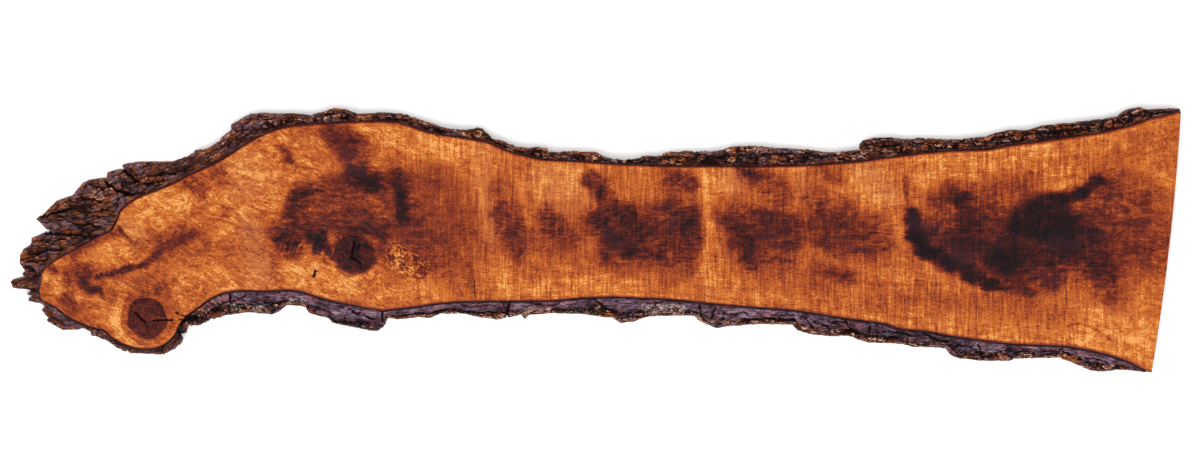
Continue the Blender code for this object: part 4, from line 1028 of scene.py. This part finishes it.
def wood_grid():
    """The wood's rings, from the left tip to the saw cut, and the values to colour it by.

    A ring's top row runs along the chord from the near edge to the far one, pushed out by the saw
    cut's bow towards that end. It sinks over the rounded edges along a circle, into the hollows and
    into the checks. The far wall, every third row across the underside and the near wall close it.
    """
    settings = bpy.context.scene.slab_wood
    wood_edge, bark_rim, kinds, _, _ = edge_stations(0.004)
    distance = running_length(wood_edge)
    weights = kind_weights(kinds, distance)
    wood_foot = foot_of_wood(wood_edge, bark_rim, weights, distance)
    tip = int(np.argmin(wood_edge[:, 0]))
    cut_near, cut_far = to_metres([SAW_CUT_NEAR, SAW_CUT_FAR])
    place = column_places()
    tip_x = wood_edge[tip, 0]
    near_line = np.vstack([wood_edge[tip:], cut_near])
    near_foot_line = np.vstack([wood_foot[tip:], cut_near])
    near_edge, near_foot = side_points(near_line, near_foot_line, tip_x + place * (cut_near[0] - tip_x))
    far_edge, far_foot = side_points(wood_edge[tip::-1], wood_foot[tip::-1],
                                     tip_x + place * (cut_far[0] - tip_x))
    chord = np.linalg.norm(far_edge - near_edge, axis=1)
    row = row_places(chord)
    cut_run = (cut_far - cut_near) / np.linalg.norm(cut_far - cut_near)
    bow = 4 * SAW_CUT_BULGE * row * (1 - row) * (place**12)[:, None]
    bow = bow[:, :, None] * np.array([cut_run[1], -cut_run[0]])

    def across(near, far, rows, bowed):
        return near[:, None, :] * (1 - rows[:, :, None]) + far[:, None, :] * rows[:, :, None] + bowed

    top = across(near_edge, far_edge, row, bow)
    bottom = across(near_foot, far_foot, row, bow)[:, ::UNDERSIDE_EVERY]
    x, y = top[:, :, 0], top[:, :, 1]
    to_cut = ((1 - place) * (cut_far[0] - tip_x))[:, None]
    to_edge = np.minimum(np.minimum(row, 1 - row) * chord[:, None], to_cut)
    short = np.clip(settings.edge_rounding - to_edge, 0, None)
    sunk = settings.edge_rounding - np.sqrt(settings.edge_rounding**2 - short**2)
    stub = knot_lobes(x, y, *STUB_KNOT)
    upper = knot_lobes(x, y, *UPPER_KNOT)
    proud = np.maximum(smooth_step(1.3, 0.7, stub), smooth_step(1.3, 0.7, upper))
    hollow = settings.hollow_depth * (0.5 + 0.5 * cloud(x / 0.16, y / 0.07, 81)) * (1 - proud)
    check = cut_depth(x, y, CHECKS, 0.4, 1.0, 0.8)
    top = np.concatenate([top, (SLAB_THICKNESS - sunk - hollow - check)[:, :, None]], axis=2)
    bottom = np.concatenate([bottom, np.zeros(bottom.shape[:2] + (1,))], axis=2)
    walls = []
    for edge, foot, levels in ((far_edge, far_foot, WALL_LEVELS), (near_edge, near_foot, WALL_LEVELS[::-1])):
        heights = np.tile(np.array(levels), (len(edge), 1))
        levels_up = heights[:, :, None] * SLAB_THICKNESS
        walls.append(np.concatenate([wall_at(edge, foot, heights), levels_up], axis=2))
    rings = np.concatenate([top, walls[0], bottom[:, ::-1], walls[1]], axis=1)
    wall_rows = np.ones((len(row), len(WALL_LEVELS)))
    under_rows = row[:, ::UNDERSIDE_EVERY][:, ::-1]
    ring_rows = np.concatenate([row, wall_rows, under_rows, 0 * wall_rows], axis=1)
    values = figure_values(rings[:, :, 0], rings[:, :, 1], ring_rows)
    ring_chord = np.minimum(ring_rows, 1 - ring_rows) * chord[:, None]
    # Painted shade along the top face's edges and over the walls and the underside's edges, where the wood
    # meets the bark
    values["painted_edge_shade"] = smooth_step(0.0026, 0.0004, ring_chord)
    return rings, row.shape[1], values


def wood_faces(columns, around, top_rows):
    """Quads between the rings and six-sided faces across the saw cut, one for each row of the underside."""
    quads = ring_faces(columns, around)[:-2]
    last = (columns - 1) * around
    under_rows = (top_rows - 1) // UNDERSIDE_EVERY + 1
    far_wall = list(range(last + top_rows, last + top_rows + len(WALL_LEVELS)))
    under = list(range(last + top_rows + 2 * len(WALL_LEVELS) + under_rows - 3,
                       last + top_rows + len(WALL_LEVELS) - 1, -1))
    near_wall = list(range(last + around - len(WALL_LEVELS), last + around))
    cut = []
    for number in range(under_rows - 1):
        above = list(range(last + number * UNDERSIDE_EVERY, last + (number + 1) * UNDERSIDE_EVERY + 1))
        face = above[:]
        if number == under_rows - 2:
            face += far_wall
        face += [under[number + 1], under[number]]
        if number == 0:
            face += near_wall
        cut.append(face)
    return quads + cut


class Shading:
    """Adds nodes to one material, by short calls that take numbers or other nodes' outputs."""

    def __init__(self, name, metallic=0.0):
        self.material = bpy.data.materials.new(name)
        self.material.use_nodes = True
        self.tree = self.material.node_tree
        self.shader = self.tree.nodes["Principled BSDF"]
        self.shader.inputs["Metallic"].default_value = metallic
        self.place = self.add("ShaderNodeTexCoord").outputs["Object"]

    def add(self, kind, settings=None, inputs=None):
        """A new node with its settings and inputs."""
        node = self.tree.nodes.new(kind)
        for name, value in (settings or {}).items():
            setattr(node, name, value)
        for name, value in (inputs or {}).items():
            if isinstance(value, bpy.types.NodeSocket):
                self.tree.links.new(value, node.inputs[name])
            else:
                node.inputs[name].default_value = value
        return node

    def feed(self, socket_name, value):
        """Links an output to one of the shader's inputs."""
        self.tree.links.new(value, self.shader.inputs[socket_name])

    def math(self, operation, first, second=0.0, third=0.0, clamped=False):
        """One step of arithmetic."""
        settings = {"operation": operation, "use_clamp": clamped}
        return self.add("ShaderNodeMath", settings, {0: first, 1: second, 2: third}).outputs[0]

    def times(self, first, second, clamped=False):
        """The product of two outputs or numbers."""
        return self.math("MULTIPLY", first, second, clamped=clamped)

    def vector(self, operation, *values):
        """One step of arithmetic with vectors."""
        node = self.add("ShaderNodeVectorMath", {"operation": operation}, dict(enumerate(values)))
        return node.outputs["Value" if operation in ("DISTANCE", "LENGTH") else "Vector"]

    def point(self, x, y, z):
        """A place put together from three outputs or numbers."""
        return self.add("ShaderNodeCombineXYZ", {}, {"X": x, "Y": y, "Z": z}).outputs[0]

    def total(self, *terms):
        """The sum of outputs, each with a factor."""
        summed = None
        for value, factor in terms:
            part = self.times(value, factor)
            summed = part if summed is None else self.math("ADD", summed, part)
        return summed

    def value(self, name):
        """One of the mesh's own values."""
        return self.add("ShaderNodeAttribute", {"attribute_name": name}).outputs["Fac"]

    def sized(self, place, size, turn, shift):
        """A place turned about Z, counted in this size along X, Y and Z, and shifted by as many of it."""
        turned = self.add("ShaderNodeMapping", {"vector_type": "POINT"},
                          {"Vector": place, "Rotation": (0.0, 0.0, turn)}).outputs[0]
        return self.add("ShaderNodeMapping", {"vector_type": "POINT"},
                        {"Vector": turned, "Location": (shift, shift, shift),
                         "Scale": tuple(1 / length for length in size)}).outputs[0]

    def noise(self, size, detail=3.0, roughness=0.5, turn=0.0, place=None, shift=0.0, bend=0.0):
        """Noise from about -1 to 1, in lumps of this size along X, Y and Z, turned about Z and bent."""
        scaled = self.sized(self.place if place is None else place, size, turn, shift)
        noise = self.add("ShaderNodeTexNoise", {},
                         {"Vector": scaled, "Scale": 1.0, "Detail": detail, "Roughness": roughness,
                          "Distortion": bend})
        return self.math("SUBTRACT", self.times(noise.outputs[0], 2.6), 1.3)

    def cells(self, size, place, turn=0.0, shift=0.0):
        """The distance to the nearest crack between cells of this size, and a number per cell."""
        sway = self.add("ShaderNodeTexNoise", {}, {"Vector": place, "Scale": 160.0, "Detail": 2.0})
        swayed = self.vector("MULTIPLY_ADD", sway.outputs["Color"], (0.006, 0.004, 0.004), place)
        inputs = {"Vector": self.sized(swayed, size, turn, shift), "Scale": 1.0}
        edges = self.add("ShaderNodeTexVoronoi", {"feature": "DISTANCE_TO_EDGE"}, inputs)
        colour = self.add("ShaderNodeTexVoronoi", {"feature": "F1"}, inputs).outputs["Color"]
        return edges.outputs["Distance"], self.parts(colour)[0]

    def parts(self, vector):
        """The three parts of a vector."""
        return self.add("ShaderNodeSeparateXYZ", {}, {"Vector": vector}).outputs

    def between(self, share, first, second):
        """Two numbers blended by a share."""
        return self.add("ShaderNodeMix", {"data_type": "FLOAT"}, {0: share, 2: first, 3: second}).outputs[0]

    def rise(self, value, low, high):
        """0 at low, 1 at high and smooth between them, whichever of the two is the greater."""
        if low < high:
            limits = {"From Min": low, "From Max": high, "To Min": 0.0, "To Max": 1.0}
        else:
            limits = {"From Min": high, "From Max": low, "To Min": 1.0, "To Max": 0.0}
        inputs = {"Value": value, **limits}
        return self.add("ShaderNodeMapRange", {"interpolation_type": "SMOOTHSTEP"}, inputs).outputs["Result"]

    def ramp(self, value, stops):
        """A colour for each value, blended between stops given as screen colours."""
        node = self.add("ShaderNodeValToRGB", {}, {"Fac": value})
        elements = node.color_ramp.elements
        while len(elements) > 1:
            elements.remove(elements[-1])
        elements[0].position = stops[0][0]
        elements[0].color = screen_colour(*stops[0][1])
        for position, colour in stops[1:]:
            elements.new(position).color = screen_colour(*colour)
        return node.outputs["Color"]

    def mix(self, share, first, second):
        """Two colours blended by a share."""
        node = self.add("ShaderNodeMix", {"data_type": "RGBA"}, {0: share, 6: first, 7: second})
        return node.outputs[2]

    def tint(self, share, colour, lightness, full, dark, bright):
        """A colour mixed with one that goes from dark to bright as the lightness rises to full."""
        toned = self.mix(self.rise(lightness, 0.1, full), screen_colour(*dark), screen_colour(*bright))
        return self.mix(share, colour, toned)

    def finish(self, colour, roughness, change, specular, height):
        """Feeds the shader: a colour, a roughness and its change, a gloss, and a height in metres."""
        self.feed("Base Color", colour)
        self.feed("Roughness", self.math("ADD", change, roughness, clamped=True))
        self.shader.inputs["Specular IOR Level"].default_value = specular
        node = self.add("ShaderNodeBump", {}, {"Height": height, "Distance": 1.0, "Strength": 1.0})
        self.feed("Normal", node.outputs["Normal"])
        return self.material


def segment_group():
    """A node group for the distance in plan from a point to a segment, less a half width.

    The share of the way along the segment is the dot product of the way to the point and the
    segment's run, over the run's own square, held between 0 and 1.
    """
    tree = bpy.data.node_groups.new("check_distance", "ShaderNodeTree")
    for name in ("Point", "Start", "Run"):
        tree.interface.new_socket(name, in_out="INPUT", socket_type="NodeSocketVector")
    tree.interface.new_socket("Half Width", in_out="INPUT", socket_type="NodeSocketFloat")
    tree.interface.new_socket("Distance", in_out="OUTPUT", socket_type="NodeSocketFloat")
    given = tree.nodes.new("NodeGroupInput").outputs
    result = tree.nodes.new("NodeGroupOutput")

    def step(kind, operation, *sources):
        node = tree.nodes.new(kind)
        node.operation = operation
        for source, socket in zip(sources, [item for item in node.inputs if item.enabled]):
            tree.links.new(source, socket)
        return node

    way = step("ShaderNodeVectorMath", "SUBTRACT", given["Point"], given["Start"]).outputs["Vector"]
    forward = step("ShaderNodeVectorMath", "DOT_PRODUCT", way, given["Run"]).outputs["Value"]
    square = step("ShaderNodeVectorMath", "DOT_PRODUCT", given["Run"], given["Run"]).outputs["Value"]
    share = step("ShaderNodeMath", "DIVIDE", forward, square)
    share.use_clamp = True
    nearest = step("ShaderNodeVectorMath", "SCALE", given["Run"], share.outputs[0]).outputs["Vector"]
    off = step("ShaderNodeVectorMath", "SUBTRACT", way, nearest).outputs["Vector"]
    length = step("ShaderNodeVectorMath", "LENGTH", off).outputs["Value"]
    outside = step("ShaderNodeMath", "SUBTRACT", length, given["Half Width"]).outputs[0]
    tree.links.new(outside, result.inputs["Distance"])
    return tree


def check_lines(shading):
    """1 in the wood's checks and 0 outside them, from the least distance to any of their segments."""
    group = segment_group()
    sway = shading.add("ShaderNodeTexNoise", {}, {"Vector": shading.place, "Scale": 220.0, "Detail": 2.0})
    centred = shading.vector("SUBTRACT", sway.outputs["Color"], (0.5, 0.5, 0.5))
    moved = shading.vector("ADD", shading.place, shading.vector("MULTIPLY", centred, (0.004, 0.004, 0.0)))
    flat = shading.vector("MULTIPLY", moved, (1.0, 1.0, 0.0))
    least = None
    for x1, y1, x2, y2, half_width, _ in CHECKS:
        inputs = {"Point": flat, "Start": (x1 * MM, y1 * MM, 0.0),
                  "Run": ((x2 - x1) * MM, (y2 - y1) * MM, 0.0), "Half Width": half_width * MM * 0.8}
        away = shading.add("ShaderNodeGroup", {"node_tree": group}, inputs).outputs["Distance"]
        least = away if least is None else shading.math("MINIMUM", least, away)
    return shading.rise(least, 0.0007, -0.0002)


def growth_rings(shading, centre, spacing, outer):
    """Wavy rings round a knot, from -1 to 1, fading out past its outer radius."""
    flat = shading.vector("MULTIPLY", shading.place, (1.0, 1.0, 0.0))
    away = shading.vector("DISTANCE", flat, (*centre, 0.0))
    wavy = shading.total((away, FULL_TURN / spacing), (shading.noise((0.022, 0.022, 0.05), 3.0), 4.0))
    return shading.times(shading.math("SINE", wavy), shading.rise(away, outer, outer * 0.6))


def wood_material():
    """Oiled walnut: a broad figure with clouds, curl, saw lines, grain dashes, pores and checks in it, with
    painted shade in the checks and along the edges.
    """
    settings = bpy.context.scene.slab_wood
    shading = Shading("oiled_walnut_grain")
    light, dark, pale = shading.value("light"), shading.value("dark"), shading.value("pale")
    curl, saw, knot = shading.value("curl"), shading.value("saw"), shading.value("knot")
    parts = shading.parts(shading.place)
    grain_place = shading.point(parts[0], shading.value("grain"), parts[2])
    clouds = shading.noise((0.038, 0.024, 0.030), 5.0, 0.56, turn=np.radians(-11), bend=1.2)
    curds = shading.noise((0.0105, 0.0075, 0.020), 4.0, 0.62, bend=1.1, shift=3.1)
    drifts = shading.noise((0.042, 0.026, 0.030), 3.0, 0.5, turn=np.radians(14), bend=1.8, shift=41.0)
    ripples = shading.noise((0.0070, 0.034, 0.030), 3.0, 0.55, turn=np.radians(-52), bend=0.6)
    saw_broad = shading.noise((0.0085, 0.120, 0.060), 2.0)
    saw_fine = shading.noise((0.0036, 0.045, 0.060), 3.0, 0.6)
    saw_lines = shading.rise(shading.noise((0.0032, 0.052, 0.060), 2.0, 0.6, shift=17.0), 0.12, 0.62)
    dashes = shading.noise((0.022, 0.0034, 0.020), 3.0, 0.62, place=grain_place, bend=0.5)
    thread_noise = shading.noise((0.011, 0.0020, 0.020), 2.0, 0.6, place=grain_place, shift=7.7)
    threads = shading.rise(thread_noise, 0.14, 0.50)
    vein_noise = shading.noise((0.026, 0.015, 0.030), 3.0, 0.55, turn=np.radians(20), bend=2.4, shift=27.0)
    veins = shading.rise(shading.math("ABSOLUTE", vein_noise), 0.050, 0.0)
    flap_noise = shading.noise((0.050, 0.026, 0.030), 4.0, 0.58, turn=np.radians(24), bend=3.0, shift=53.0)
    flaps = shading.rise(flap_noise, -0.10, 0.14)
    specks = shading.noise((0.0040, 0.0026, 0.010), 1.0, turn=np.radians(-8), shift=61.0)
    curls = shading.noise((0.0200, 0.0095, 0.020), 2.0, 0.5, turn=np.radians(24), bend=2.6, shift=31.0)
    streaks = shading.noise((0.120, 0.0075, 0.040), 3.0, 0.55, place=grain_place, shift=4.7)
    pore_noise = shading.noise((0.0085, 0.0017, 0.010), 1.0, place=grain_place, shift=9.1)
    pores = shading.rise(pore_noise, 0.30, 0.60)
    flecks = shading.rise(shading.noise((0.0060, 0.0036, 0.010), 2.0, shift=13.3), 0.25, 0.60)
    flames = shading.noise((0.0120, 0.036, 0.030), 2.0, 0.55, turn=np.radians(20), bend=2.2, shift=2.2)
    quilting = shading.noise((0.0110, 0.0062, 0.030), 1.0, 0.5, turn=np.radians(52), bend=1.8, shift=6.6)
    rings = shading.total((growth_rings(shading, STUB_KNOT[0], 0.0050, 0.085), 1.0),
                          (growth_rings(shading, UPPER_KNOT[0], 0.0056, 0.058), 0.5))
    fringe, quilt = shading.value("fringe"), shading.value("quilt")
    checks = check_lines(shading)
    end_grain = shading.rise(shading.math("ABSOLUTE", normal_x(shading)), 0.6, 0.8)
    depth = shading.vector("DISTANCE", shading.point(0.0, parts[1], parts[2]), CUT_CORE)
    year_phase = shading.total((depth, FULL_TURN / 0.0056), (shading.noise((0.03, 0.03, 0.03), 3.0), 2.4))
    years = shading.math("SINE", year_phase)

    doubt = shading.times(dark, shading.math("SUBTRACT", 1.0, dark))
    raggedness = shading.total((clouds, 2.2), (drifts, 0.9), (curds, 1.7), (dashes, 1.8), (streaks, 0.9),
                               (shading.times(flames, fringe), 5.0))
    raggedness = shading.times(raggedness, shading.math("MULTIPLY_ADD", knot, -0.75, 1.0))
    raggedness = shading.times(raggedness, shading.math("MULTIPLY_ADD", curl, -0.25, 1.0))
    darkness = shading.math("ADD", dark, shading.times(doubt, raggedness), clamped=True)
    lines = shading.math("MULTIPLY_ADD", saw, 0.45, 0.33)
    face_detail = shading.total(
        (clouds, 0.11), (drifts, 0.13), (curds, 0.065), (specks, 0.13),
        (shading.times(ripples, curl), 0.05), (shading.times(flaps, curl), 0.13),
        (curl, -0.065),
        (shading.times(curls, curl), 0.14), (shading.times(veins, curl), -0.36),
        (shading.times(saw_broad, saw), 0.10), (shading.times(saw_fine, saw), 0.26),
        (shading.times(saw_lines, saw), -0.16),
        (shading.times(dashes, lines), 0.19), (shading.times(threads, lines), -0.25),
        (shading.times(streaks, lines), 0.12), (shading.times(pores, lines), -0.36), (flecks, 0.04),
        (rings, 0.042), (quilt, 0.16), (shading.times(shading.rise(quilting, -0.16, 0.26), quilt), -0.46))
    cut_detail = shading.total((years, 0.17), (clouds, 0.12), (flecks, 0.08))
    detail = shading.between(end_grain, face_detail, cut_detail)
    softened = shading.times(detail, shading.math("SUBTRACT", 1.0, shading.times(darkness, 0.10)))
    lightness = shading.math("ADD", shading.times(light, shading.math("SUBTRACT", 1.0, darkness)), softened)
    # Painted shade in the checks and along the wood's edges and walls, with the end grain's own darker tone
    darkening = shading.total((checks, 0.85), (shading.value("painted_edge_shade"), 0.60), (end_grain, 0.22))
    kept = shading.math("SUBTRACT", 1.0, darkening, clamped=True)
    lightness = shading.times(lightness, kept, clamped=True)
    colour = shading.ramp(lightness, WOOD_COLOURS)
    greying = shading.times(pale, shading.rise(lightness, 0.35, 0.75))
    colour = shading.mix(shading.times(greying, 0.45), colour, (*settings.pale_colour, 1.0))
    purple = shading.times(shading.rise(shading.noise((0.09, 0.05, 0.06), 2.0, shift=21.0), 0.0, 0.6),
                          shading.rise(lightness, 0.55, 0.30))
    colour = shading.mix(shading.times(purple, 0.30), colour, screen_colour(84, 40, 48))
    roughening = shading.total((clouds, 0.05), (dashes, 0.04), (pores, 0.12), (checks, 0.30),
                               (end_grain, 0.22), (knot, -0.04))
    height = shading.total(
        (dashes, 0.00008), (shading.times(saw_broad, saw), 0.00012), (pores, -0.00022),
        (shading.times(ripples, curl), 0.00012), (checks, -0.0008), (rings, 0.00006),
        (shading.times(quilting, quilt), -0.0011),
        (shading.times(flames, fringe), 0.00035),
        (shading.times(years, end_grain), 0.00012))
    return shading.finish(colour, settings.roughness, roughening, WOOD_SPECULAR, height)


def normal_x(shading):
    """How far the surface faces along X."""
    return shading.parts(shading.add("ShaderNodeNewGeometry").outputs["True Normal"])[0]


def bark_material():
    """Walnut bark: dark, cracked plates with painted shade in their furrows and cracks and painted glints on
    their raised tops, a sawn band, a bare slope, lichen and splinters.
    """
    settings = bpy.context.scene.slab_bark
    shading = Shading("walnut_bark_plates")
    fibres = shading.point(shading.value("fibre_along"), shading.value("fibre_down"), 0.0)
    edge_strands = shading.noise((0.022, 0.0021, 1.0), 4.0, 0.62, place=fibres, bend=0.4)
    end_strands = shading.noise((0.020, 0.0030, 0.006), 4.0, 0.62, turn=-END_FIBRE_TURN, bend=0.8)
    end_share = shading.value("end_share")
    strands = shading.between(end_share, edge_strands, end_strands)
    broad = shading.noise((0.034, 0.022, 0.020), 3.0, 0.6, bend=0.8)
    mottle = shading.noise((0.0090, 0.0065, 0.007), 4.0, 0.66, bend=0.8)
    grit = shading.noise((0.0034, 0.0030, 0.0030), 3.0, 0.65)
    rise, furrow, plate = shading.value("rise"), shading.value("furrow"), shading.value("plate")
    band, slope, lichen = shading.value("band"), shading.value("slope"), shading.value("lichen")
    crack, ledge = shading.value("crack"), shading.value("ledge")
    edge_cells, edge_number = shading.cells((0.017, 0.0064, 1.0), fibres)
    end_cells, end_number = shading.cells((0.022, 0.0075, 0.012), shading.place, turn=-END_FIBRE_TURN)
    to_crack = shading.between(end_share, edge_cells, end_cells)
    number = shading.between(end_share, edge_number, end_number)
    # Painted shade in the cracks between the cells; painted highlights on the rims of some cells and, where
    # the relief rises, painted glints
    split = shading.rise(to_crack, 0.085, 0.015)
    rim = shading.times(shading.rise(to_crack, 0.08, 0.14), shading.rise(to_crack, 0.30, 0.16))
    brightest = shading.rise(shading.total((number, 0.8), (mottle, 0.5), (grit, 0.4)), 0.42, 0.66)
    bright = shading.times(rim, brightest)
    glint = shading.rise(shading.total((mottle, 0.6), (strands, 0.7), (grit, 0.7)), 0.20, 0.38)
    painted_glint = shading.times(shading.rise(rise, 0.34, 0.64), glint)
    # Lightness of the bark: a painted highlight where the relief rises and painted shade in the furrows,
    # splits, cracks and at the ledge; the calmer stretches' lightness below does the same, more softly
    lightness = shading.total((broad, 0.26), (mottle, 0.46), (strands, 0.50), (grit, 0.45), (plate, 0.36),
                              (number, 0.22), (rise, 0.46), (furrow, -0.66), (split, -0.60), (crack, -0.78),
                              (ledge, -0.44), (painted_glint, 0.70), (bright, 0.56))
    end_light = shading.total((broad, 0.20), (mottle, 0.26), (strands, 0.34), (grit, 0.12), (plate, 0.18),
                              (number, 0.14), (rise, 0.26), (furrow, -0.16), (split, -0.30), (crack, -0.66),
                              (ledge, -0.34), (bright, 0.16))
    lightness = shading.between(shading.value("calm"), shading.math("ADD", lightness, 0.20),
                                shading.math("ADD", end_light, 0.38))
    colour = shading.ramp(lightness, BARK_COLOURS)
    reddish = shading.rise(shading.noise((0.034, 0.017, 0.02), 3.0, shift=5.0, bend=1.0), -0.06, 0.24)
    colour = shading.tint(shading.times(reddish, 0.80), colour, lightness, 0.75, (36, 11, 5), (182, 92, 38))
    violet = shading.rise(shading.noise((0.036, 0.018, 0.02), 3.0, shift=15.0, bend=1.0), 0.0, 0.30)
    colour = shading.tint(shading.times(violet, 0.70), colour, lightness, 0.8, (26, 13, 18), (136, 104, 122))
    fresh = shading.times(shading.value("fresh"), shading.rise(strands, -0.2, 0.5))
    colour = shading.mix(shading.times(fresh, 0.60), colour, screen_colour(132, 60, 38))
    bare = shading.times(slope, shading.rise(mottle, 0.9, -0.2))
    colour = shading.mix(shading.times(bare, 0.80), colour, (*settings.slope_colour, 1.0))
    # The band's lightness, with painted shade in its furrows, splits and cracks and at the ledge
    band_light = shading.total((strands, 0.74), (mottle, 0.34), (broad, 0.56), (grit, 0.30), (plate, 0.40),
                               (furrow, -0.40), (split, -0.16), (crack, -0.75), (ledge, -0.45))
    band_light = shading.math("ADD", band_light, 0.32, clamped=True)
    band_colour = shading.ramp(band_light, BAND_COLOURS)
    band_colour = shading.tint(shading.times(reddish, 0.55), band_colour, band_light, 0.85,
                               (28, 9, 8), (156, 86, 88))
    colour = shading.mix(band, colour, band_colour)
    growth = shading.total((mottle, 1.1), (broad, 0.8), (grit, 0.7), (furrow, -0.7), (crack, -0.7),
                           (split, -0.6), (lichen, 0.8))
    cover = shading.rise(growth, 0.26, 0.48)
    patch_cells = shading.cells((0.0068, 0.0056, 1.0), fibres, shift=3.0)[0]
    cobbled = shading.times(cover, shading.rise(patch_cells, 0.04, 0.16))
    grown = shading.times(lichen, cobbled)
    fresh_lichen = (*settings.lichen_colour, 1.0)
    old_lichen = shading.mix(0.45, fresh_lichen, screen_colour(76, 50, 38))
    pale = shading.mix(shading.rise(mottle, -0.4, 0.4), old_lichen, fresh_lichen)
    colour = shading.mix(shading.times(grown, 0.92), colour, pale)
    # Painted shadow in the gap between the bark and the wood, mixed in near black
    line = shading.times(shading.value("painted_gap_shadow"), 0.97)
    colour = shading.mix(line, colour, screen_colour(10, 5, 7))
    roughening = shading.total((mottle, 0.10), (painted_glint, -0.26), (furrow, 0.14), (band, -0.12), (grown, 0.16))
    rough_part = shading.math("SUBTRACT", 1.0, shading.times(band, 0.6))
    height = shading.total((mottle, 0.0009), (strands, 0.0007), (grit, 0.0005), (split, -0.0012),
                           (number, 0.0008))
    return shading.finish(colour, settings.roughness, roughening, BARK_SPECULAR,
                          shading.times(height, rough_part))


def floor_material(colour):
    """A pale, matt floor with a faint unevenness."""
    shading = Shading("pale_floor")
    unevenness = shading.noise((0.8, 0.8, 0.8), 2.0)
    share = shading.times(shading.rise(unevenness, -1.0, 1.0), 0.02)
    shading.feed("Base Color", shading.mix(share, (*colour, 1.0), (*(0.9 * part for part in colour), 1.0)))
    shading.shader.inputs["Roughness"].default_value = 0.9
    shading.shader.inputs["Specular IOR Level"].default_value = 0.1
    return shading.material


class SLAB_OT_make_wood(bpy.types.Operator):
    """Makes the sawn wood."""

    bl_idname = "walnut_slab.make_wood"
    bl_label = "Make the sawn wood"

    def execute(self, context):
        rings, top_rows, values = wood_grid()
        columns, around = rings.shape[:2]
        faces = wood_faces(columns, around, top_rows)
        wood = finished_object("wood_slab", rings.reshape(-1, 3), faces, values, merge_first=around)
        wood.data.materials.append(wood_material())
        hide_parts("sawn_wood")
        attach(wood, "root")
        return {"FINISHED"}


class SLAB_OT_make_bark(bpy.types.Operator):
    """Makes the bark of the far edge, the left end and the near edge."""

    bl_idname = "walnut_slab.make_bark"
    bl_label = "Make the bark"

    def execute(self, context):
        rows, inner_foot, stretches, values = bark_surface(context.scene.slab_bark)
        rings = np.concatenate([inner_foot[:, None, :], rows], axis=1)
        material = bark_material()
        for band_name, (first_stretch, last_stretch) in BARK_BANDS.items():
            first = int(np.searchsorted(stretches, STRETCH_NAMES.index(first_stretch)))
            last = int(np.searchsorted(stretches, STRETCH_NAMES.index(last_stretch) + 1)) + 1
            band = rings[first:last]
            band_values = {name: np.concatenate([numbers[first:last, :1] * 0, numbers[first:last]], axis=1)
                           for name, numbers in values.items()}
            piece = finished_object(band_name, band.reshape(-1, 3), ring_faces(*band.shape[:2]), band_values)
            piece.data.materials.append(material)
            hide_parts("bark")
            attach(piece, "root")
        return {"FINISHED"}


class SLAB_OT_make_stage(bpy.types.Operator):
    """Makes the floor, the lights, the sky and the camera."""

    bl_idname = "walnut_slab.make_stage"
    bl_label = "Make the stage"

    def execute(self, context):
        scene, settings = context.scene, context.scene.slab_stage
        half = settings.floor_size / 2
        mesh = bpy.data.meshes.new("floor")
        corners = np.array([(-half, -half, 0.0), (half, -half, 0.0), (half, half, 0.0), (-half, half, 0.0)])
        mesh.from_pydata(corners, [], [(0, 1, 2, 3)])
        mesh.materials.append(floor_material(settings.floor_colour))
        floor = bpy.data.objects.new("floor", mesh)
        scene.collection.objects.link(floor)

        strengths = {"key_strength": settings.key_strength, "fill_strength": settings.fill_strength}
        for name, setting, factor, softness, tilt, turn in LIGHTS:
            light = bpy.data.lights.new(name, "SUN")
            light.energy = strengths[setting] * factor
            light.angle = np.radians(softness)
            lamp = bpy.data.objects.new(name, light)
            lamp.rotation_euler = (np.radians(tilt), 0.0, np.radians(turn))
            scene.collection.objects.link(lamp)

        world = bpy.data.worlds.new("even_sky")
        world.use_nodes = True
        world.node_tree.nodes["Background"].inputs["Color"].default_value = (1.0, 1.0, 1.0, 1.0)
        world.node_tree.nodes["Background"].inputs["Strength"].default_value = settings.sky_strength
        scene.world = world

        camera_data = bpy.data.cameras.new("camera")
        camera_data.lens = settings.lens
        camera_data.sensor_width = SENSOR_WIDTH
        camera_data.clip_end = FAR_LIMIT
        camera = bpy.data.objects.new("camera", camera_data)
        height = settings.view_width * settings.lens / SENSOR_WIDTH
        camera.location = (*settings.view_centre, SLAB_THICKNESS + height)
        scene.collection.objects.link(camera)
        scene.camera = camera
        scene.view_settings.view_transform = "Standard"
        return {"FINISHED"}


class SLAB_PT_panel(bpy.types.Panel):
    """Lists the slab's pieces and their settings."""

    bl_idname = "SLAB_PT_panel"
    bl_label = "Walnut slab"
    bl_space_type = "VIEW_3D"
    bl_region_type = "UI"
    bl_category = "Slab"

    def draw(self, context):
        for group, operator in ((context.scene.slab_stage, "walnut_slab.make_stage"),
                                (context.scene.slab_wood, "walnut_slab.make_wood"),
                                (context.scene.slab_bark, "walnut_slab.make_bark")):
            box = self.layout.box()
            for name in group.__annotations__:
                box.prop(group, name)
            box.operator(operator)


CLASSES = (WoodSettings, BarkSettings, StageSettings, SLAB_OT_make_wood, SLAB_OT_make_bark,
           SLAB_OT_make_stage, SLAB_PT_panel)


def register():
    for item in CLASSES:
        bpy.utils.register_class(item)
    bpy.types.Scene.slab_wood = bpy.props.PointerProperty(type=WoodSettings)
    bpy.types.Scene.slab_bark = bpy.props.PointerProperty(type=BarkSettings)
    bpy.types.Scene.slab_stage = bpy.props.PointerProperty(type=StageSettings)


def unregister():
    del bpy.types.Scene.slab_stage
    del bpy.types.Scene.slab_bark
    del bpy.types.Scene.slab_wood
    for item in reversed(CLASSES):
        bpy.utils.unregister_class(item)


def main():
    register()
    bpy.ops.walnut_slab.make_stage()
    bpy.ops.walnut_slab.make_wood()
    bpy.ops.walnut_slab.make_bark()


if __name__ == "__main__":
    main()
